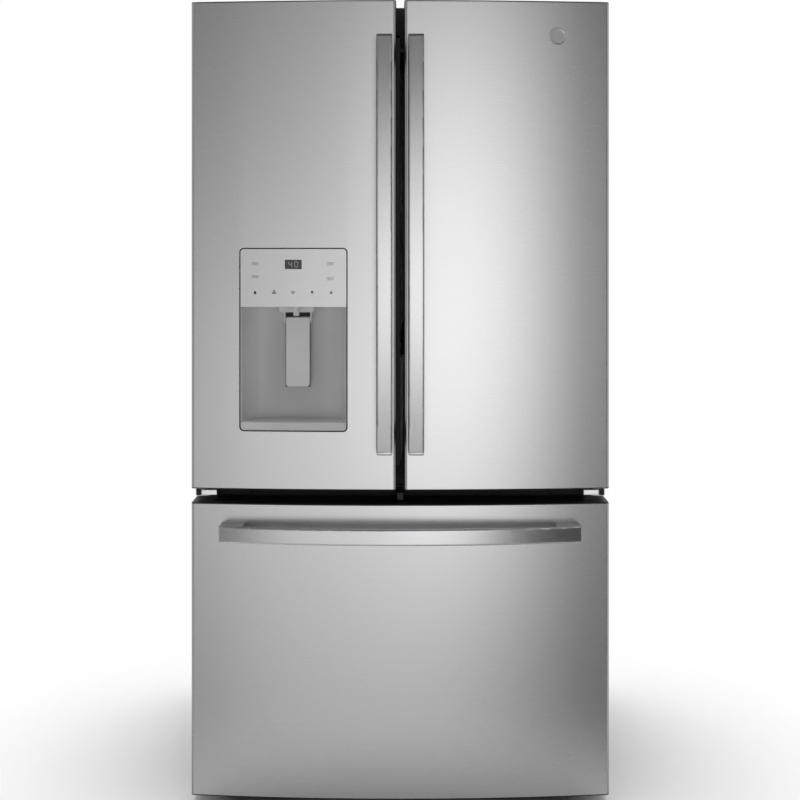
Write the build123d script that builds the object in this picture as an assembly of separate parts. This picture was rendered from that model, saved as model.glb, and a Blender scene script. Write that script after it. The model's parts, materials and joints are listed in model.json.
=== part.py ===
from build123d import *
import os
from math import sqrt

# A french door refrigerator: two bowed upper doors, an ice and water dispenser
# in the left one, and a freezer drawer below. Millimetres, +X right as seen
# from the front, +Y to the back, +Z up. The origin lies on the floor, under the
# middle of the bounding box.

# Fronts
FRONT_WIDTH = 908.0
DRAWER_BOTTOM = 20.0
DOOR_HEIGHT = 1057.0
MID_GAP = 30.0
DRAWER_HEIGHT = 636.0
DOOR_GAP = 17.0
DOOR_EDGE = 80.0
DOOR_BOW = 26.0
EDGE_RADIUS = 7.0
SKIN = 1.0
CAP = 18.0
CAP_LIP = 2.5
CAP_ROUND = 1.5
FLANGE = 6.0

# Case
CASE_DEPTH = 746.0
CASE_INSET = 2.0
CASE_BOTTOM = 60.0
CASE_CORNER = 8.0
PANEL_INSET = 3.0
SEAL_GAP = 12.0
SIDE_WALL = 46.0
TOP_WALL = 54.0
BACK_WALL = 52.0
MID_WALL = 84.0
FLOOR_WALL = 58.0
LINER = 2.5
ROOM_CORNER = 14.0
RAIL_DEPTH = 14.0
CENTRE_STOP_WIDTH = 14.0
CENTRE_STOP_HEIGHT = 18.0
CENTRE_STOP_REACH = 12.0
MACHINE_HEIGHT = 250.0
MACHINE_DEPTH = 230.0
MACHINE_SIDE = 12.0
STEP_WALL = 50.0
BASE_PLATE = 2.0

# Clearances
FIT = 0.3
RUNNING = 0.1
SEAM = 0.8
SEAL_CLEAR = 0.5
OVER = 5.0

# Hinges
PIN_RADIUS = 6.0
PIN_DEPTH = 14.0
PIN_FROM_SIDE = 22.0
PIN_FROM_BACK = 45.0
HINGE_NOSE = 16.0
HINGE_LIFT = 1.0
HINGE_PLATE = 3.0
HINGE_LENGTH = 90.0
HINGE_COVER_WIDTH = 120.0
HINGE_COVER_DEPTH = 150.0
HINGE_COVER_LOW = 9.0
HINGE_COVER_HIGH = 20.0
HINGE_COVER_WALL = 2.0
ARM_WIDTH = 34.0
ARM_BELOW = 4.0
ARM_ABOVE = 8.0
ARM_FLANGE = 4.0

# Gaskets and inner liners of the fronts
GASKET_WIDTH = 16.0
GASKET_FOOT = 8.0
GASKET_FOOT_DEPTH = 5.0
GASKET_SIDE = 24.0
GASKET_INNER = 6.0
DIKE_CLEAR = 8.0
DIKE_WIDTH = 24.0
DIKE_DEPTH = 30.0
DIKE_INNER = 56.0
DRAWER_PANEL = 14.0

# Handles
HANDLE_WIDTH = 34.0
HANDLE_THICK = 12.0
HANDLE_EDGE = 3.0
HANDLE_CENTRE = 33.8
HANDLE_FROM_FOOT = 87.0
HANDLE_DROP = 81.0
HANDLE_MIDDLE_REACH = 62.0
HANDLE_END_REACH = 44.0
POST_WIDTH = 26.0
POST_LENGTH = 46.0
POST_FROM_END = 8.0
DRAWER_HANDLE_HALF = 387.0
DRAWER_HANDLE_DROP = 41.5
DRAWER_HANDLE_REACH = 66.0
DRAWER_HANDLE_END = 50.0
DRAWER_POST = 50.0

# Dispenser
DISPENSER_CENTRE = 231.0
DISPENSER_WIDTH = 233.0
DISPENSER_HEIGHT = 395.0
DISPENSER_DROP = 535.0
DISPENSER_CORNER = 9.0
PANEL_HEIGHT = 127.0
PANEL_THICK = 20.0
LIP_HEIGHT = 19.0
ALCOVE_DEPTH = 94.0
ALCOVE_CORNER = 38.0
HOUSING_WALL = 3.0
BULGE = 20.0
BULGE_MARGIN = 8.0
DISPLAY_WIDTH = 36.0
DISPLAY_HEIGHT = 19.5
DISPLAY_DROP = 25.0
DISPLAY_DEPTH = 2.0
SPOUT_SHIFT = 6.0
PADDLE_WIDTH = 52.0
PADDLE_HEIGHT = 153.0
PADDLE_THICK = 6.0
PADDLE_DROP = 24.0
PADDLE_DEPTH = 63.0
PADDLE_CORNER = 6.0
PADDLE_PIN = 3.0
PADDLE_PIN_DROP = 4.0
EAR = 4.0
EAR_GAP = 1.0
EAR_HALF = 6.5
CHUTE_TOP_WIDTH = 96.0
CHUTE_TOP_DEPTH = 54.0
CHUTE_MOUTH_WIDTH = 76.0
CHUTE_MOUTH_DEPTH = 28.0
CHUTE_WALL = 2.5
CHUTE_FRONT = 25.0
CHUTE_TOP_DROP = 8.0
CHUTE_MOUTH_DROP = 12.0
NOZZLE_RADIUS = 6.5
NOZZLE_BORE = 3.5
NOZZLE_DROP = 19.0
FLAP_THICK = 3.0
FLAP_DEPTH = 42.0
FLAP_PIN = 2.0
FLAP_DROP = 10.0
FLAP_SIDE = 1.5
TRAY_RIM = 8.0
TRAY_DISH = 3.0

# Ice box and door bins
ICE_ABOVE_PANEL = 17.0
ICE_HEIGHT = 375.0
ICE_DEPTH = 185.0
ICE_WALL = 6.0
BIN_DEPTH = 105.0
BIN_WALL = 2.5
BIN_CORNER = 20.0
BIN_HEIGHT = 95.0
BIN_DROPS = (724.0, 524.0, 334.0, 144.0)
TOP_BIN_HEIGHT = 48.0
TOP_BIN_ABOVE_ICE = 4.0

# Folding mullion
MULLION_THICK = 20.0
MULLION_PIVOT_X = 40.0
MULLION_PIVOT_BACK = 13.0
MULLION_TAIL = 6.0
MULLION_PIN = 3.0
MULLION_END_CLEAR = 9.0
MULLION_LUGS = 3
LUG_HEIGHT = 14.0
LUG_HALF = 7.0
LUG_CLEAR = 1.0
LUG_REACH = 16.0

# Shelves and crispers
SHELF_CLEAR = 15.0
SHELF_LOW_DROP = 529.0
SHELF_HIGH_DROP = 269.0
SHELF_MIDDLE = 8.0
SHELF_SIDE = 8.0
SHELF_BAR = 12.0
SHELF_ARM = 4.0
SHELF_ARM_REAR = 36.0
SHELF_ARM_FRONT = 14.0
GLASS = 4.0
TRACK_INNER = 84.0
TRACK_OUTER_IN = 24.0
TRACK_HALF = 8.0
TRACK_DEPTH = 9.0
TRACK_SLOTS = 10
TRACK_SLOT_WIDTH = 5.0
TRACK_SLOT_HEIGHT = 14.0
DUCT_HALF = 66.0
DUCT_DEPTH = 30.0
DUCT_EDGE = 12.0
DUCT_VENTS = 5
DUCT_VENT_HEIGHT = 9.0
DUCT_ABOVE_COVER = 29.0
DUCT_BELOW_CEILING = 30.0
COVER_ABOVE_FLOOR = 243.0
COVER_THICK = 12.0
COVER_RIM = 30.0
COVER_LENGTH = 500.0
DIVIDER_HALF = 7.0
LEDGE = 9.0
LEDGE_THICK = 8.0
LEDGE_DROP = 20.0
CRISPER_WALL = 3.0
CRISPER_RIM = 3.0
CRISPER_SIDE = 2.0
CRISPER_FLOOR = 6.0
CRISPER_SETBACK = 6.0
CRISPER_LENGTH = 480.0
CRISPER_GRIP = 14.0
CRISPER_CORNER = 18.0
CRISPER_GRIP_HEIGHT = 26.0
LAMP_HALF = 150.0
LAMP_LENGTH = 80.0
LAMP_DROP = 10.0
LAMP_SETBACK = 220.0

# Freezer
RUNNER_WIDTH = 14.0
RUNNER_ABOVE_STEP = 15.0
RUNNER_HEIGHT = 40.0
RUNNER_SHEET = 2.0
RUNNER_SETBACK = 15.0
RUNNER_LENGTH = 560.0
SLIDE_CLEAR = 1.0
SLIDE_LENGTH = 570.0
SLIDE_WEB = 3.0
SLIDE_NECK = 14.0
SLIDE_ABOVE_RUNNER = 25.0
SLIDE_LEDGE = 12.0
SLIDE_LEDGE_THICK = 6.0
FREEZER_BIN_LOW = 10.0
FREEZER_BIN_GAP = 24.0
FREEZER_WALL = 3.0
FREEZER_CORNER = 24.0
BASKET_BELOW_SLIDE = 16.0
BASKET_CEILING_GAP = 49.0
BASKET_DEPTH = 360.0
BASKET_SETBACK = 40.0
BASKET_SLOTS = 9
BASKET_SLOT = 24.0

# Evaporator
EVAPORATOR_HALF = 300.0
EVAPORATOR_HEIGHT = 160.0
EVAPORATOR_DEPTH = 60.0
EVAPORATOR_FINS = 16
EVAPORATOR_ROWS = 3
FIN = 1.2
TUBE = 4.5
EVAPORATOR_COVER = 4.0
EVAPORATOR_ROOM = 84.0
FAN_DROP = 52.0
FAN_RADIUS = 40.0
FAN_OPENING = 44.0
FAN_HUB = 12.0
FAN_HUB_LENGTH = 20.0
FAN_BLADES = 5
FAN_CHORD = 24.0
FAN_SHEET = 2.0
FAN_PITCH = 32.0
FAN_SHAFT = 3.0
FAN_MOTOR = 20.0
FAN_MOTOR_LENGTH = 26.0
FAN_ARM = 8.0
FAN_AIR = 6.0
GUARD_BAR = 4.0
VENT_COUNT = 8
VENT_WIDTH = 60.0
VENT_HEIGHT = 7.0

# Machine room
FOOT_RADIUS = 20.0
FOOT_PAD = 10.0
FOOT_STUD = 6.0
FOOT_HEX = 11.0
FOOT_NUT = 6.0
FOOT_BOSS = 20.0
FOOT_BOSS_LOW = 30.0
FOOT_IN = 52.0
CHANNEL_LOW = 30.0
CHANNEL_WIDTH = 34.0
CHANNEL_SHEET = 2.0
CHANNEL_IN = 6.0
ROLLER_RADIUS = 24.0
ROLLER_WIDTH = 18.0
ROLLER_AXLE = 4.0
ROLLER_IN = 90.0
ROLLER_FROM_BACK = 70.0
FORK = 3.0
FORK_LOW = 12.0
FORK_HALF = 14.0
COMPRESSOR_FROM_SIDE = 204.0
COMPRESSOR_RADIUS = 72.0
COMPRESSOR_HEIGHT = 150.0
COMPRESSOR_DOME = 34.0
COMPRESSOR_FOOT = 12.0
COMPRESSOR_PLATE = 4.0
CONDENSER_FROM_SIDE = 139.0
CONDENSER_HALF = 95.0
CONDENSER_HEIGHT = 160.0
CONDENSER_DEPTH = 110.0
CONDENSER_FINS = 14
SHROUD_GAP = 45.0
SHROUD_SHEET = 3.0
SHROUD_HEIGHT = 190.0
SHROUD_HALF = 84.0
CONDENSER_FAN = 60.0
CONDENSER_OPENING = 66.0
PAN_FROM_SHROUD = 90.0
PAN_FROM_COMPRESSOR = 21.0
PAN_DEPTH = 160.0
PAN_HEIGHT = 24.0
PAN_WALL = 2.0
COVER_SHEET = 2.0
COVER_INSET = 4.0
LOUVRES = 9
LOUVRE_WIDTH = 150.0
LOUVRE_HEIGHT = 7.0
LOUVRE_FROM_SIDE = 209.0
VALVE_FROM_SIDE = 49.0
VALVE_Z = 200.0
VALVE_HALF = 18.0
VALVE_BODY = 40.0
VALVE_RECESS = 30.0
INLET_RADIUS = 5.55
INLET_LENGTH = 22.0
INLET_ROOM = 16.0
GLAND_RADIUS = 9.0
GLAND_BORE = 4.5
BEAD_WIDTH = 14.0
BEADS = 3

# Derived levels and planes
HALF = FRONT_WIDTH / 2
CASE_HALF = HALF - CASE_INSET
DRAWER_TOP = DRAWER_BOTTOM + DRAWER_HEIGHT
DOOR_BOTTOM = DRAWER_TOP + MID_GAP
DOOR_TOP = DOOR_BOTTOM + DOOR_HEIGHT
CASE_TOP = DOOR_TOP
MID_Z = (DOOR_BOTTOM + DRAWER_TOP) / 2
OVERALL_DEPTH = CASE_DEPTH + SEAL_GAP + DOOR_EDGE + DOOR_BOW + DRAWER_HANDLE_REACH
CASE_BACK = OVERALL_DEPTH / 2
CASE_FRONT = CASE_BACK - CASE_DEPTH
DOOR_BACK = CASE_FRONT - SEAL_GAP
SKIN_BACK = DOOR_BACK - FLANGE
DOOR_FRONT = DOOR_BACK - DOOR_EDGE - DOOR_BOW
BOW_RADIUS = (HALF ** 2 + DOOR_BOW ** 2) / (2 * DOOR_BOW)
BOW_CENTRE = DOOR_FRONT + BOW_RADIUS
LEFT = (-HALF, -DOOR_GAP / 2)
RIGHT = (DOOR_GAP / 2, HALF)
WHOLE = (-HALF, HALF)
DOOR_Z = (DOOR_BOTTOM, DOOR_TOP)
DRAWER_Z = (DRAWER_BOTTOM, DRAWER_TOP)
ROOM_HALF = CASE_HALF - SIDE_WALL
ROOM_BACK = CASE_BACK - BACK_WALL
FRIDGE_FLOOR = MID_Z + MID_WALL / 2
FRIDGE_CEILING = CASE_TOP - TOP_WALL
FREEZER_CEILING = MID_Z - MID_WALL / 2
FREEZER_FLOOR = CASE_BOTTOM + FLOOR_WALL
MACHINE_TOP = CASE_BOTTOM + MACHINE_HEIGHT
MACHINE_HALF = CASE_HALF - SKIN - MACHINE_SIDE
MACHINE_FRONT = CASE_BACK - MACHINE_DEPTH
MACHINE_MIDDLE = CASE_BACK - MACHINE_DEPTH / 2
STEP_TOP = MACHINE_TOP + STEP_WALL
STEP_FRONT = MACHINE_FRONT - STEP_WALL
COMPRESSOR_X = MACHINE_HALF - COMPRESSOR_FROM_SIDE
CONDENSER_X = MACHINE_HALF - CONDENSER_FROM_SIDE
SHROUD_X = CONDENSER_X - CONDENSER_HALF - SHROUD_GAP
VALVE_X = MACHINE_HALF - VALVE_FROM_SIDE
LOUVRE_X = MACHINE_HALF - LOUVRE_FROM_SIDE
FREEZER_BIN_BACK = STEP_FRONT - FREEZER_BIN_GAP
PANEL_BACK = CASE_BACK - PANEL_INSET
PANEL_FRONT = PANEL_BACK - SKIN
HINGE_X = HALF - PIN_FROM_SIDE
HINGE_Y = DOOR_BACK - PIN_FROM_BACK
SHELF_FRONT = DOOR_BACK + BIN_DEPTH + SHELF_CLEAR
ICE_SHELF_FRONT = DOOR_BACK + ICE_DEPTH + SHELF_CLEAR
BIN_SPAN = (DIKE_INNER + DIKE_WIDTH, ROOM_HALF - DIKE_CLEAR - DIKE_WIDTH)
DISPENSER_TOP = DOOR_TOP - DISPENSER_DROP
DISPENSER_BOTTOM = DISPENSER_TOP - DISPENSER_HEIGHT
DISPENSER_MIDDLE = (DISPENSER_TOP + DISPENSER_BOTTOM) / 2
PANEL_BOTTOM = DISPENSER_TOP - PANEL_HEIGHT
TRAY_TOP = DISPENSER_BOTTOM + LIP_HEIGHT
ALCOVE_BACK = DOOR_FRONT + ALCOVE_DEPTH
HOUSING_BACK = ALCOVE_BACK + HOUSING_WALL
PANEL_REAR = DOOR_FRONT + PANEL_THICK
SPOUT_X = -DISPENSER_CENTRE + SPOUT_SHIFT
PADDLE_TOP = PANEL_BOTTOM - PADDLE_DROP
PADDLE_Y = DOOR_FRONT + PADDLE_DEPTH
PADDLE_PIVOT = PADDLE_TOP - PADDLE_PIN_DROP
MULLION_Y = CASE_FRONT + MULLION_PIVOT_BACK
COVER_TOP = FRIDGE_FLOOR + COVER_ABOVE_FLOOR
CRISPER_TOP = COVER_TOP - COVER_THICK - LEDGE_DROP + LEDGE_THICK
CRISPER_FRONT = SHELF_FRONT + CRISPER_SETBACK
EVAPORATOR_Y = ROOM_BACK - EVAPORATOR_ROOM
FAN_Z = FREEZER_CEILING - FAN_DROP
BASE_LOW = CASE_BOTTOM - BASE_PLATE
ICE_BOTTOM = DISPENSER_TOP + ICE_ABOVE_PANEL
SHELF_LOW = FRIDGE_CEILING - SHELF_LOW_DROP
SHELF_HIGH = FRIDGE_CEILING - SHELF_HIGH_DROP
DUCT_BOTTOM = COVER_TOP + DUCT_ABOVE_COVER
RUNNER_LOW = STEP_TOP + RUNNER_ABOVE_STEP
RUNNER_HIGH = RUNNER_LOW + RUNNER_HEIGHT
SLIDE_TOP = RUNNER_HIGH + SLIDE_ABOVE_RUNNER
BASKET_LOW = SLIDE_TOP - BASKET_BELOW_SLIDE
BASKET_HIGH = FREEZER_CEILING - BASKET_CEILING_GAP
HANDLE_LENGTH = DOOR_HEIGHT - HANDLE_DROP - HANDLE_FROM_FOOT


def block(x, y, z):
    """A box between three pairs of limits."""
    place = Pos((x[0] + x[1]) / 2, (y[0] + y[1]) / 2, (z[0] + z[1]) / 2)
    return place * Box(x[1] - x[0], y[1] - y[0], z[1] - z[0])


def prism_x(face, x):
    """Extrudes a face drawn in (y, z) across x."""
    return extrude(Plane.YZ.offset(x[0]) * face, amount=x[1] - x[0])


def prism_y(face, y):
    """Extrudes a face drawn in (x, z) across y."""
    return extrude(Plane.XZ.offset(-y[1]) * face, amount=y[1] - y[0])


def prism_z(face, z):
    """Extrudes a face drawn in (x, y) across z."""
    return extrude(Pos(0, 0, z[0]) * face, amount=z[1] - z[0])


def rod_x(radius, x, y, z):
    """A round bar along x."""
    return prism_x(Pos(y, z) * Circle(radius), x)


def rod_y(radius, x, y, z):
    """A round bar along y."""
    return prism_y(Pos(x, z) * Circle(radius), y)


def rod_z(radius, x, y, z):
    """A round bar along z."""
    return prism_z(Pos(x, y) * Circle(radius), z)


def pair(shape):
    """A piece and its mirror image on the other side."""
    return shape + mirror(shape, about=Plane.YZ)


def together(shapes):
    """Separate solids kept in one node."""
    solids = []
    for shape in shapes:
        solids.extend(shape.solids())
    return Compound(solids)


def fused(shapes):
    """Joins a list of pieces into one solid."""
    whole = shapes[0]
    for shape in shapes[1:]:
        whole = whole + shape
    return whole


def rectangle(x, z, radius=0.0):
    """A rectangle between limits, with rounded corners if asked."""
    place = Pos((x[0] + x[1]) / 2, (z[0] + z[1]) / 2)
    width = x[1] - x[0]
    height = z[1] - z[0]
    if radius:
        return place * RectangleRounded(width, height, radius)
    return place * Rectangle(width, height)


def grown(limits, amount):
    """Limits moved apart by an amount at each end."""
    return (limits[0] - amount, limits[1] + amount)


def bow_y(x, inset=0.0):
    """The front of the doors and the drawer at x, set in by an amount."""
    radius = BOW_RADIUS - inset
    return BOW_CENTRE - sqrt(radius ** 2 - x ** 2)


def front_plan(x, inset, back):
    """Plan of a front: bowed face, rounded edges and straight sides."""
    low = x[0] + inset
    high = x[1] - inset
    middle = (low + high) / 2
    start = (low, bow_y(low, inset))
    end = (high, bow_y(high, inset))
    face = ThreePointArc(start, (middle, bow_y(middle, inset)), end)
    sides = Polyline(end, (high, back), (low, back), start)
    plan = make_face([face, sides])
    corners = plan.vertices().sort_by(Axis.Y)[:2]
    return fillet(corners, radius=EDGE_RADIUS - inset)


def front_skin(x, z):
    """Steel sheet bent round the face and sides of a front."""
    sheet = front_plan(x, 0.0, SKIN_BACK) - front_plan(x, SKIN, DOOR_BACK)
    return prism_z(sheet, (z[0] + CAP_LIP, z[1] - CAP_LIP))


def front_caps(x, z):
    """Moulded caps that close the top and foot of a front."""
    plug = front_plan(x, SKIN + FIT, SKIN_BACK)
    lip = front_plan(x, 0.0, DOOR_BACK)
    top_lip = prism_z(lip, (z[1] - CAP_LIP, z[1]))
    top_lip = fillet(top_lip.edges().group_by(Axis.Z)[-1], radius=CAP_ROUND)
    foot_lip = prism_z(lip, (z[0], z[0] + CAP_LIP))
    foot_lip = fillet(foot_lip.edges().group_by(Axis.Z)[0], radius=CAP_ROUND)
    top = prism_z(plug, (z[1] - CAP, z[1] - CAP_LIP)) + top_lip
    foot = prism_z(plug, (z[0] + CAP_LIP, z[0] + CAP)) + foot_lip
    return [top, foot]


def front_core(x, z):
    """Foamed inner of a front, with the flange that covers the sheet's edges."""
    core = prism_z(front_plan(x, SKIN + FIT, SKIN_BACK), (z[0] + CAP, z[1] - CAP))
    flange = block(x, (SKIN_BACK, DOOR_BACK), (z[0] + CAP_LIP, z[1] - CAP_LIP))
    return core + flange


def ring(x, z, width, y):
    """A rectangular frame of one width."""
    frame = rectangle(x, z) - rectangle(grown(x, -width), grown(z, -width))
    return prism_y(frame, y)


def gasket(x, z):
    """A bellows seal: a narrow foot in the liner and a wide magnetic head."""
    step = (GASKET_WIDTH - GASKET_FOOT) / 2
    neck = DOOR_BACK + GASKET_FOOT_DEPTH
    foot = ring(grown(x, -step), grown(z, -step), GASKET_FOOT, (DOOR_BACK, neck))
    head = ring(x, z, GASKET_WIDTH, (neck, CASE_FRONT - SEAL_CLEAR))
    return foot + head


def dike(x):
    """The raised frame round the inside of a door, which carries the bins."""
    z = (FRIDGE_FLOOR + DIKE_CLEAR, FRIDGE_CEILING - DIKE_CLEAR)
    return ring(x, z, DIKE_WIDTH, (DOOR_BACK, DOOR_BACK + DIKE_DEPTH))


def case_outline(inset):
    """Front view of the case, with rounded top corners."""
    x = grown((-CASE_HALF, CASE_HALF), -inset)
    face = rectangle(x, (CASE_BOTTOM, CASE_TOP - inset))
    corners = face.vertices().sort_by(Axis.Y)[-2:]
    return fillet(corners, radius=CASE_CORNER - inset)


def fridge_outline(grow):
    """Front view of the fresh food room."""
    x = grown((-ROOM_HALF, ROOM_HALF), grow)
    z = grown((FRIDGE_FLOOR, FRIDGE_CEILING), grow)
    return rectangle(x, z, ROOM_CORNER + grow)


def freezer_outline(grow, front):
    """Side view of the freezer room, stepped over the machine room."""
    floor = FREEZER_FLOOR - grow
    step = STEP_TOP - grow
    wall = STEP_FRONT + grow
    back = ROOM_BACK + grow
    ceiling = FREEZER_CEILING + grow
    return make_face(
        Polyline(
            (front, floor),
            (wall, floor),
            (wall, step),
            (back, step),
            (back, ceiling),
            (front, ceiling),
            close=True,
        )
    )


def freezer_room(grow, front):
    """The freezer room as a solid, grown by a wall."""
    x = grown((-ROOM_HALF, ROOM_HALF), grow)
    return prism_x(freezer_outline(grow, front), x)


def rail_space():
    """The room in the foam that the middle rail fills."""
    z = (FREEZER_CEILING + LINER, FRIDGE_FLOOR - LINER)
    x = grown((-ROOM_HALF, ROOM_HALF), LINER)
    return block(x, (CASE_FRONT, CASE_FRONT + RAIL_DEPTH), z)


def machine_room():
    """The space for the compressor, at the back under the freezer."""
    x = (-MACHINE_HALF, MACHINE_HALF)
    return block(x, (MACHINE_FRONT, CASE_BACK), (CASE_BOTTOM, MACHINE_TOP))


def outer_wrapper():
    """Painted sheet round the top and sides, turned in at the front."""
    body = prism_y(case_outline(0.0), (CASE_FRONT, CASE_BACK))
    inside = prism_y(case_outline(SKIN), (CASE_FRONT + SKIN, CASE_BACK + OVER))
    x = grown((-ROOM_HALF, ROOM_HALF), LINER)
    z = (FREEZER_FLOOR - LINER, FRIDGE_CEILING + LINER)
    mouth = rectangle(x, z)
    mouth = fillet(mouth.vertices().sort_by(Axis.Y)[-2:], radius=ROOM_CORNER + LINER)
    opening = prism_y(mouth, (CASE_FRONT - OVER, CASE_FRONT + OVER))
    return body - inside - opening


def rear_panel():
    """The sheet that closes the back, stiffened by upright beads."""
    outline = case_outline(SKIN) - rectangle((-MACHINE_HALF, MACHINE_HALF), (0.0, MACHINE_TOP))
    sheet = prism_y(outline, (PANEL_FRONT, PANEL_BACK))
    pitch = 2 * CASE_HALF / (BEADS + 1)
    z = (MACHINE_TOP + STEP_WALL, CASE_TOP - STEP_WALL)
    for index in range(BEADS):
        x = -CASE_HALF + pitch * (index + 1)
        bead = block((x - BEAD_WIDTH / 2, x + BEAD_WIDTH / 2), (PANEL_BACK, CASE_BACK), z)
        edges = bead.edges().group_by(Axis.Y)[-1]
        sheet = sheet + chamfer(edges, length=PANEL_INSET - SKIN)
    return sheet


def insulation():
    """Foam between the sheet and the liners."""
    body = prism_y(case_outline(SKIN), (CASE_FRONT + SKIN, PANEL_FRONT))
    fridge = prism_y(fridge_outline(LINER), (CASE_FRONT - OVER, ROOM_BACK + LINER))
    freezer = freezer_room(LINER, CASE_FRONT - OVER)
    return body - fridge - freezer - rail_space() - machine_room()


def fresh_food_liner():
    """White moulded lining of the fresh food room."""
    outside = prism_y(fridge_outline(LINER), (CASE_FRONT, ROOM_BACK + LINER))
    inside = prism_y(fridge_outline(0.0), (CASE_FRONT - OVER, ROOM_BACK))
    return outside - inside - rail_space()


def freezer_liner():
    """White moulded lining of the freezer."""
    shell = freezer_room(LINER, CASE_FRONT) - freezer_room(0.0, CASE_FRONT - OVER)
    return shell - rail_space()


def middle_rail():
    """The channel across the front between the two rooms, with the stop between the doors."""
    rail = rail_space()
    box = rail.bounding_box()
    x = grown((box.min.X, box.max.X), -SKIN)
    z = grown((box.min.Z, box.max.Z), -SKIN)
    stop_y = (CASE_FRONT - CENTRE_STOP_REACH, CASE_FRONT)
    half = CENTRE_STOP_WIDTH / 2
    stop = block((-half, half), stop_y, (MID_Z - CENTRE_STOP_HEIGHT / 2, MID_Z + CENTRE_STOP_HEIGHT / 2))
    return rail - block(x, (box.min.Y + SKIN, box.max.Y + OVER), z) + stop


def base_frame():
    """The floor plate with its side channels, foot bosses and roller forks."""
    floor = block((-CASE_HALF, CASE_HALF), (CASE_FRONT, CASE_BACK), (BASE_LOW, CASE_BOTTOM))
    x = (CASE_HALF - CHANNEL_IN - CHANNEL_WIDTH, CASE_HALF - CHANNEL_IN)
    y = (CASE_FRONT + CHANNEL_IN, CASE_BACK - CHANNEL_IN)
    channel = block(x, y, (CHANNEL_LOW, BASE_LOW))
    hollow = block(grown(x, -CHANNEL_SHEET), grown(y, -CHANNEL_SHEET), (0.0, BASE_LOW))
    boss_x = (CASE_HALF - FOOT_IN - FOOT_BOSS, CASE_HALF - FOOT_IN + FOOT_BOSS)
    boss_y = (CASE_FRONT + FOOT_IN - FOOT_BOSS, CASE_FRONT + FOOT_IN + FOOT_BOSS)
    boss = block(boss_x, boss_y, (FOOT_BOSS_LOW, BASE_LOW))
    bore = rod_z(
        FOOT_STUD + FIT, CASE_HALF - FOOT_IN, CASE_FRONT + FOOT_IN, (0.0, CASE_BOTTOM - OVER)
    )
    side = (channel - hollow) + boss + roller_fork()
    return floor + pair(side - bore)


def roller_fork():
    """Two plates and a pin that hold a rear roller."""
    x = CASE_HALF - ROLLER_IN
    y = CASE_BACK - ROLLER_FROM_BACK
    gap = ROLLER_WIDTH / 2 + FIT
    plate_y = (y - FORK_HALF, y + FORK_HALF)
    near = block((x + gap, x + gap + FORK), plate_y, (FORK_LOW, BASE_LOW))
    far = block((x - gap - FORK, x - gap), plate_y, (FORK_LOW, BASE_LOW))
    pin = rod_x(ROLLER_AXLE, (x - gap - FORK, x + gap + FORK), y, ROLLER_RADIUS)
    return near + far + pin


def rear_rollers():
    """The two rear rollers, on pins in one line."""
    x = CASE_HALF - ROLLER_IN
    y = CASE_BACK - ROLLER_FROM_BACK
    span = (x - ROLLER_WIDTH / 2, x + ROLLER_WIDTH / 2)
    wheel = rod_x(ROLLER_RADIUS, span, y, ROLLER_RADIUS)
    rims = wheel.edges().filter_by(GeomType.CIRCLE)
    wheel = chamfer(rims, length=CAP_LIP)
    return pair(wheel - rod_x(ROLLER_AXLE + RUNNING, span, y, ROLLER_RADIUS))


def leveling_feet():
    """Threaded feet with a hexagon to turn them by."""
    x = CASE_HALF - FOOT_IN
    y = CASE_FRONT + FOOT_IN
    pad = rod_z(FOOT_RADIUS, x, y, (0.0, FOOT_PAD))
    pad = chamfer(pad.edges().group_by(Axis.Z)[-1], length=CAP_LIP)
    stud = rod_z(FOOT_STUD, x, y, (FOOT_PAD, CASE_BOTTOM - 2 * OVER))
    hexagon = Pos(x, y) * RegularPolygon(FOOT_HEX, 6)
    nut = prism_z(hexagon, (FOOT_BOSS_LOW - FOOT_NUT, FOOT_BOSS_LOW))
    return pair(pad + stud + nut)


def compressor():
    """A domed can on a foot plate, with its terminal box and pipe."""
    x = COMPRESSOR_X
    y = MACHINE_MIDDLE
    plate_low = CASE_BOTTOM + COMPRESSOR_FOOT
    can_low = plate_low + COMPRESSOR_PLATE
    can = rod_z(COMPRESSOR_RADIUS, x, y, (can_low, can_low + COMPRESSOR_HEIGHT))
    can = fillet(can.edges().group_by(Axis.Z)[-1], radius=COMPRESSOR_DOME)
    reach = COMPRESSOR_RADIUS + COMPRESSOR_FOOT
    deep = COMPRESSOR_RADIUS
    plate = block((x - reach, x + reach), (y - deep, y + deep), (plate_low, can_low))
    pieces = [can, plate]
    for foot_x in (x - COMPRESSOR_RADIUS, x + COMPRESSOR_RADIUS):
        for foot_y in (y - deep + COMPRESSOR_FOOT, y + deep - COMPRESSOR_FOOT):
            pieces.append(rod_z(COMPRESSOR_FOOT, foot_x, foot_y, (CASE_BOTTOM, plate_low)))
    box_z = (can_low + COMPRESSOR_DOME, can_low + 2 * COMPRESSOR_DOME)
    box_x = (x - COMPRESSOR_RADIUS - COMPRESSOR_FOOT, x)
    pieces.append(block(box_x, (y - COMPRESSOR_DOME / 2, y + COMPRESSOR_DOME / 2), box_z))
    pipe_top = can_low + COMPRESSOR_HEIGHT + COMPRESSOR_FOOT
    pieces.append(rod_z(TUBE, x, y, (can_low, pipe_top)))
    return fused(pieces)


def finned_coil(middle, half, y, z, count, rows):
    """Plate fins on straight tubes, with an end plate at each side."""
    pieces = []
    pitch = 2 * half / (count - 1)
    for index in range(count):
        x = middle - half + pitch * index
        pieces.append(block((x - FIN / 2, x + FIN / 2), y, z))
    for row in range(rows):
        height = z[0] + (z[1] - z[0]) * (row + 1) / (rows + 1)
        for share in (1 / 3, 2 / 3):
            depth = y[0] + (y[1] - y[0]) * share
            pieces.append(rod_x(TUBE, (middle - half - TUBE, middle + half + TUBE), depth, height))
    return fused(pieces)


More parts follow.
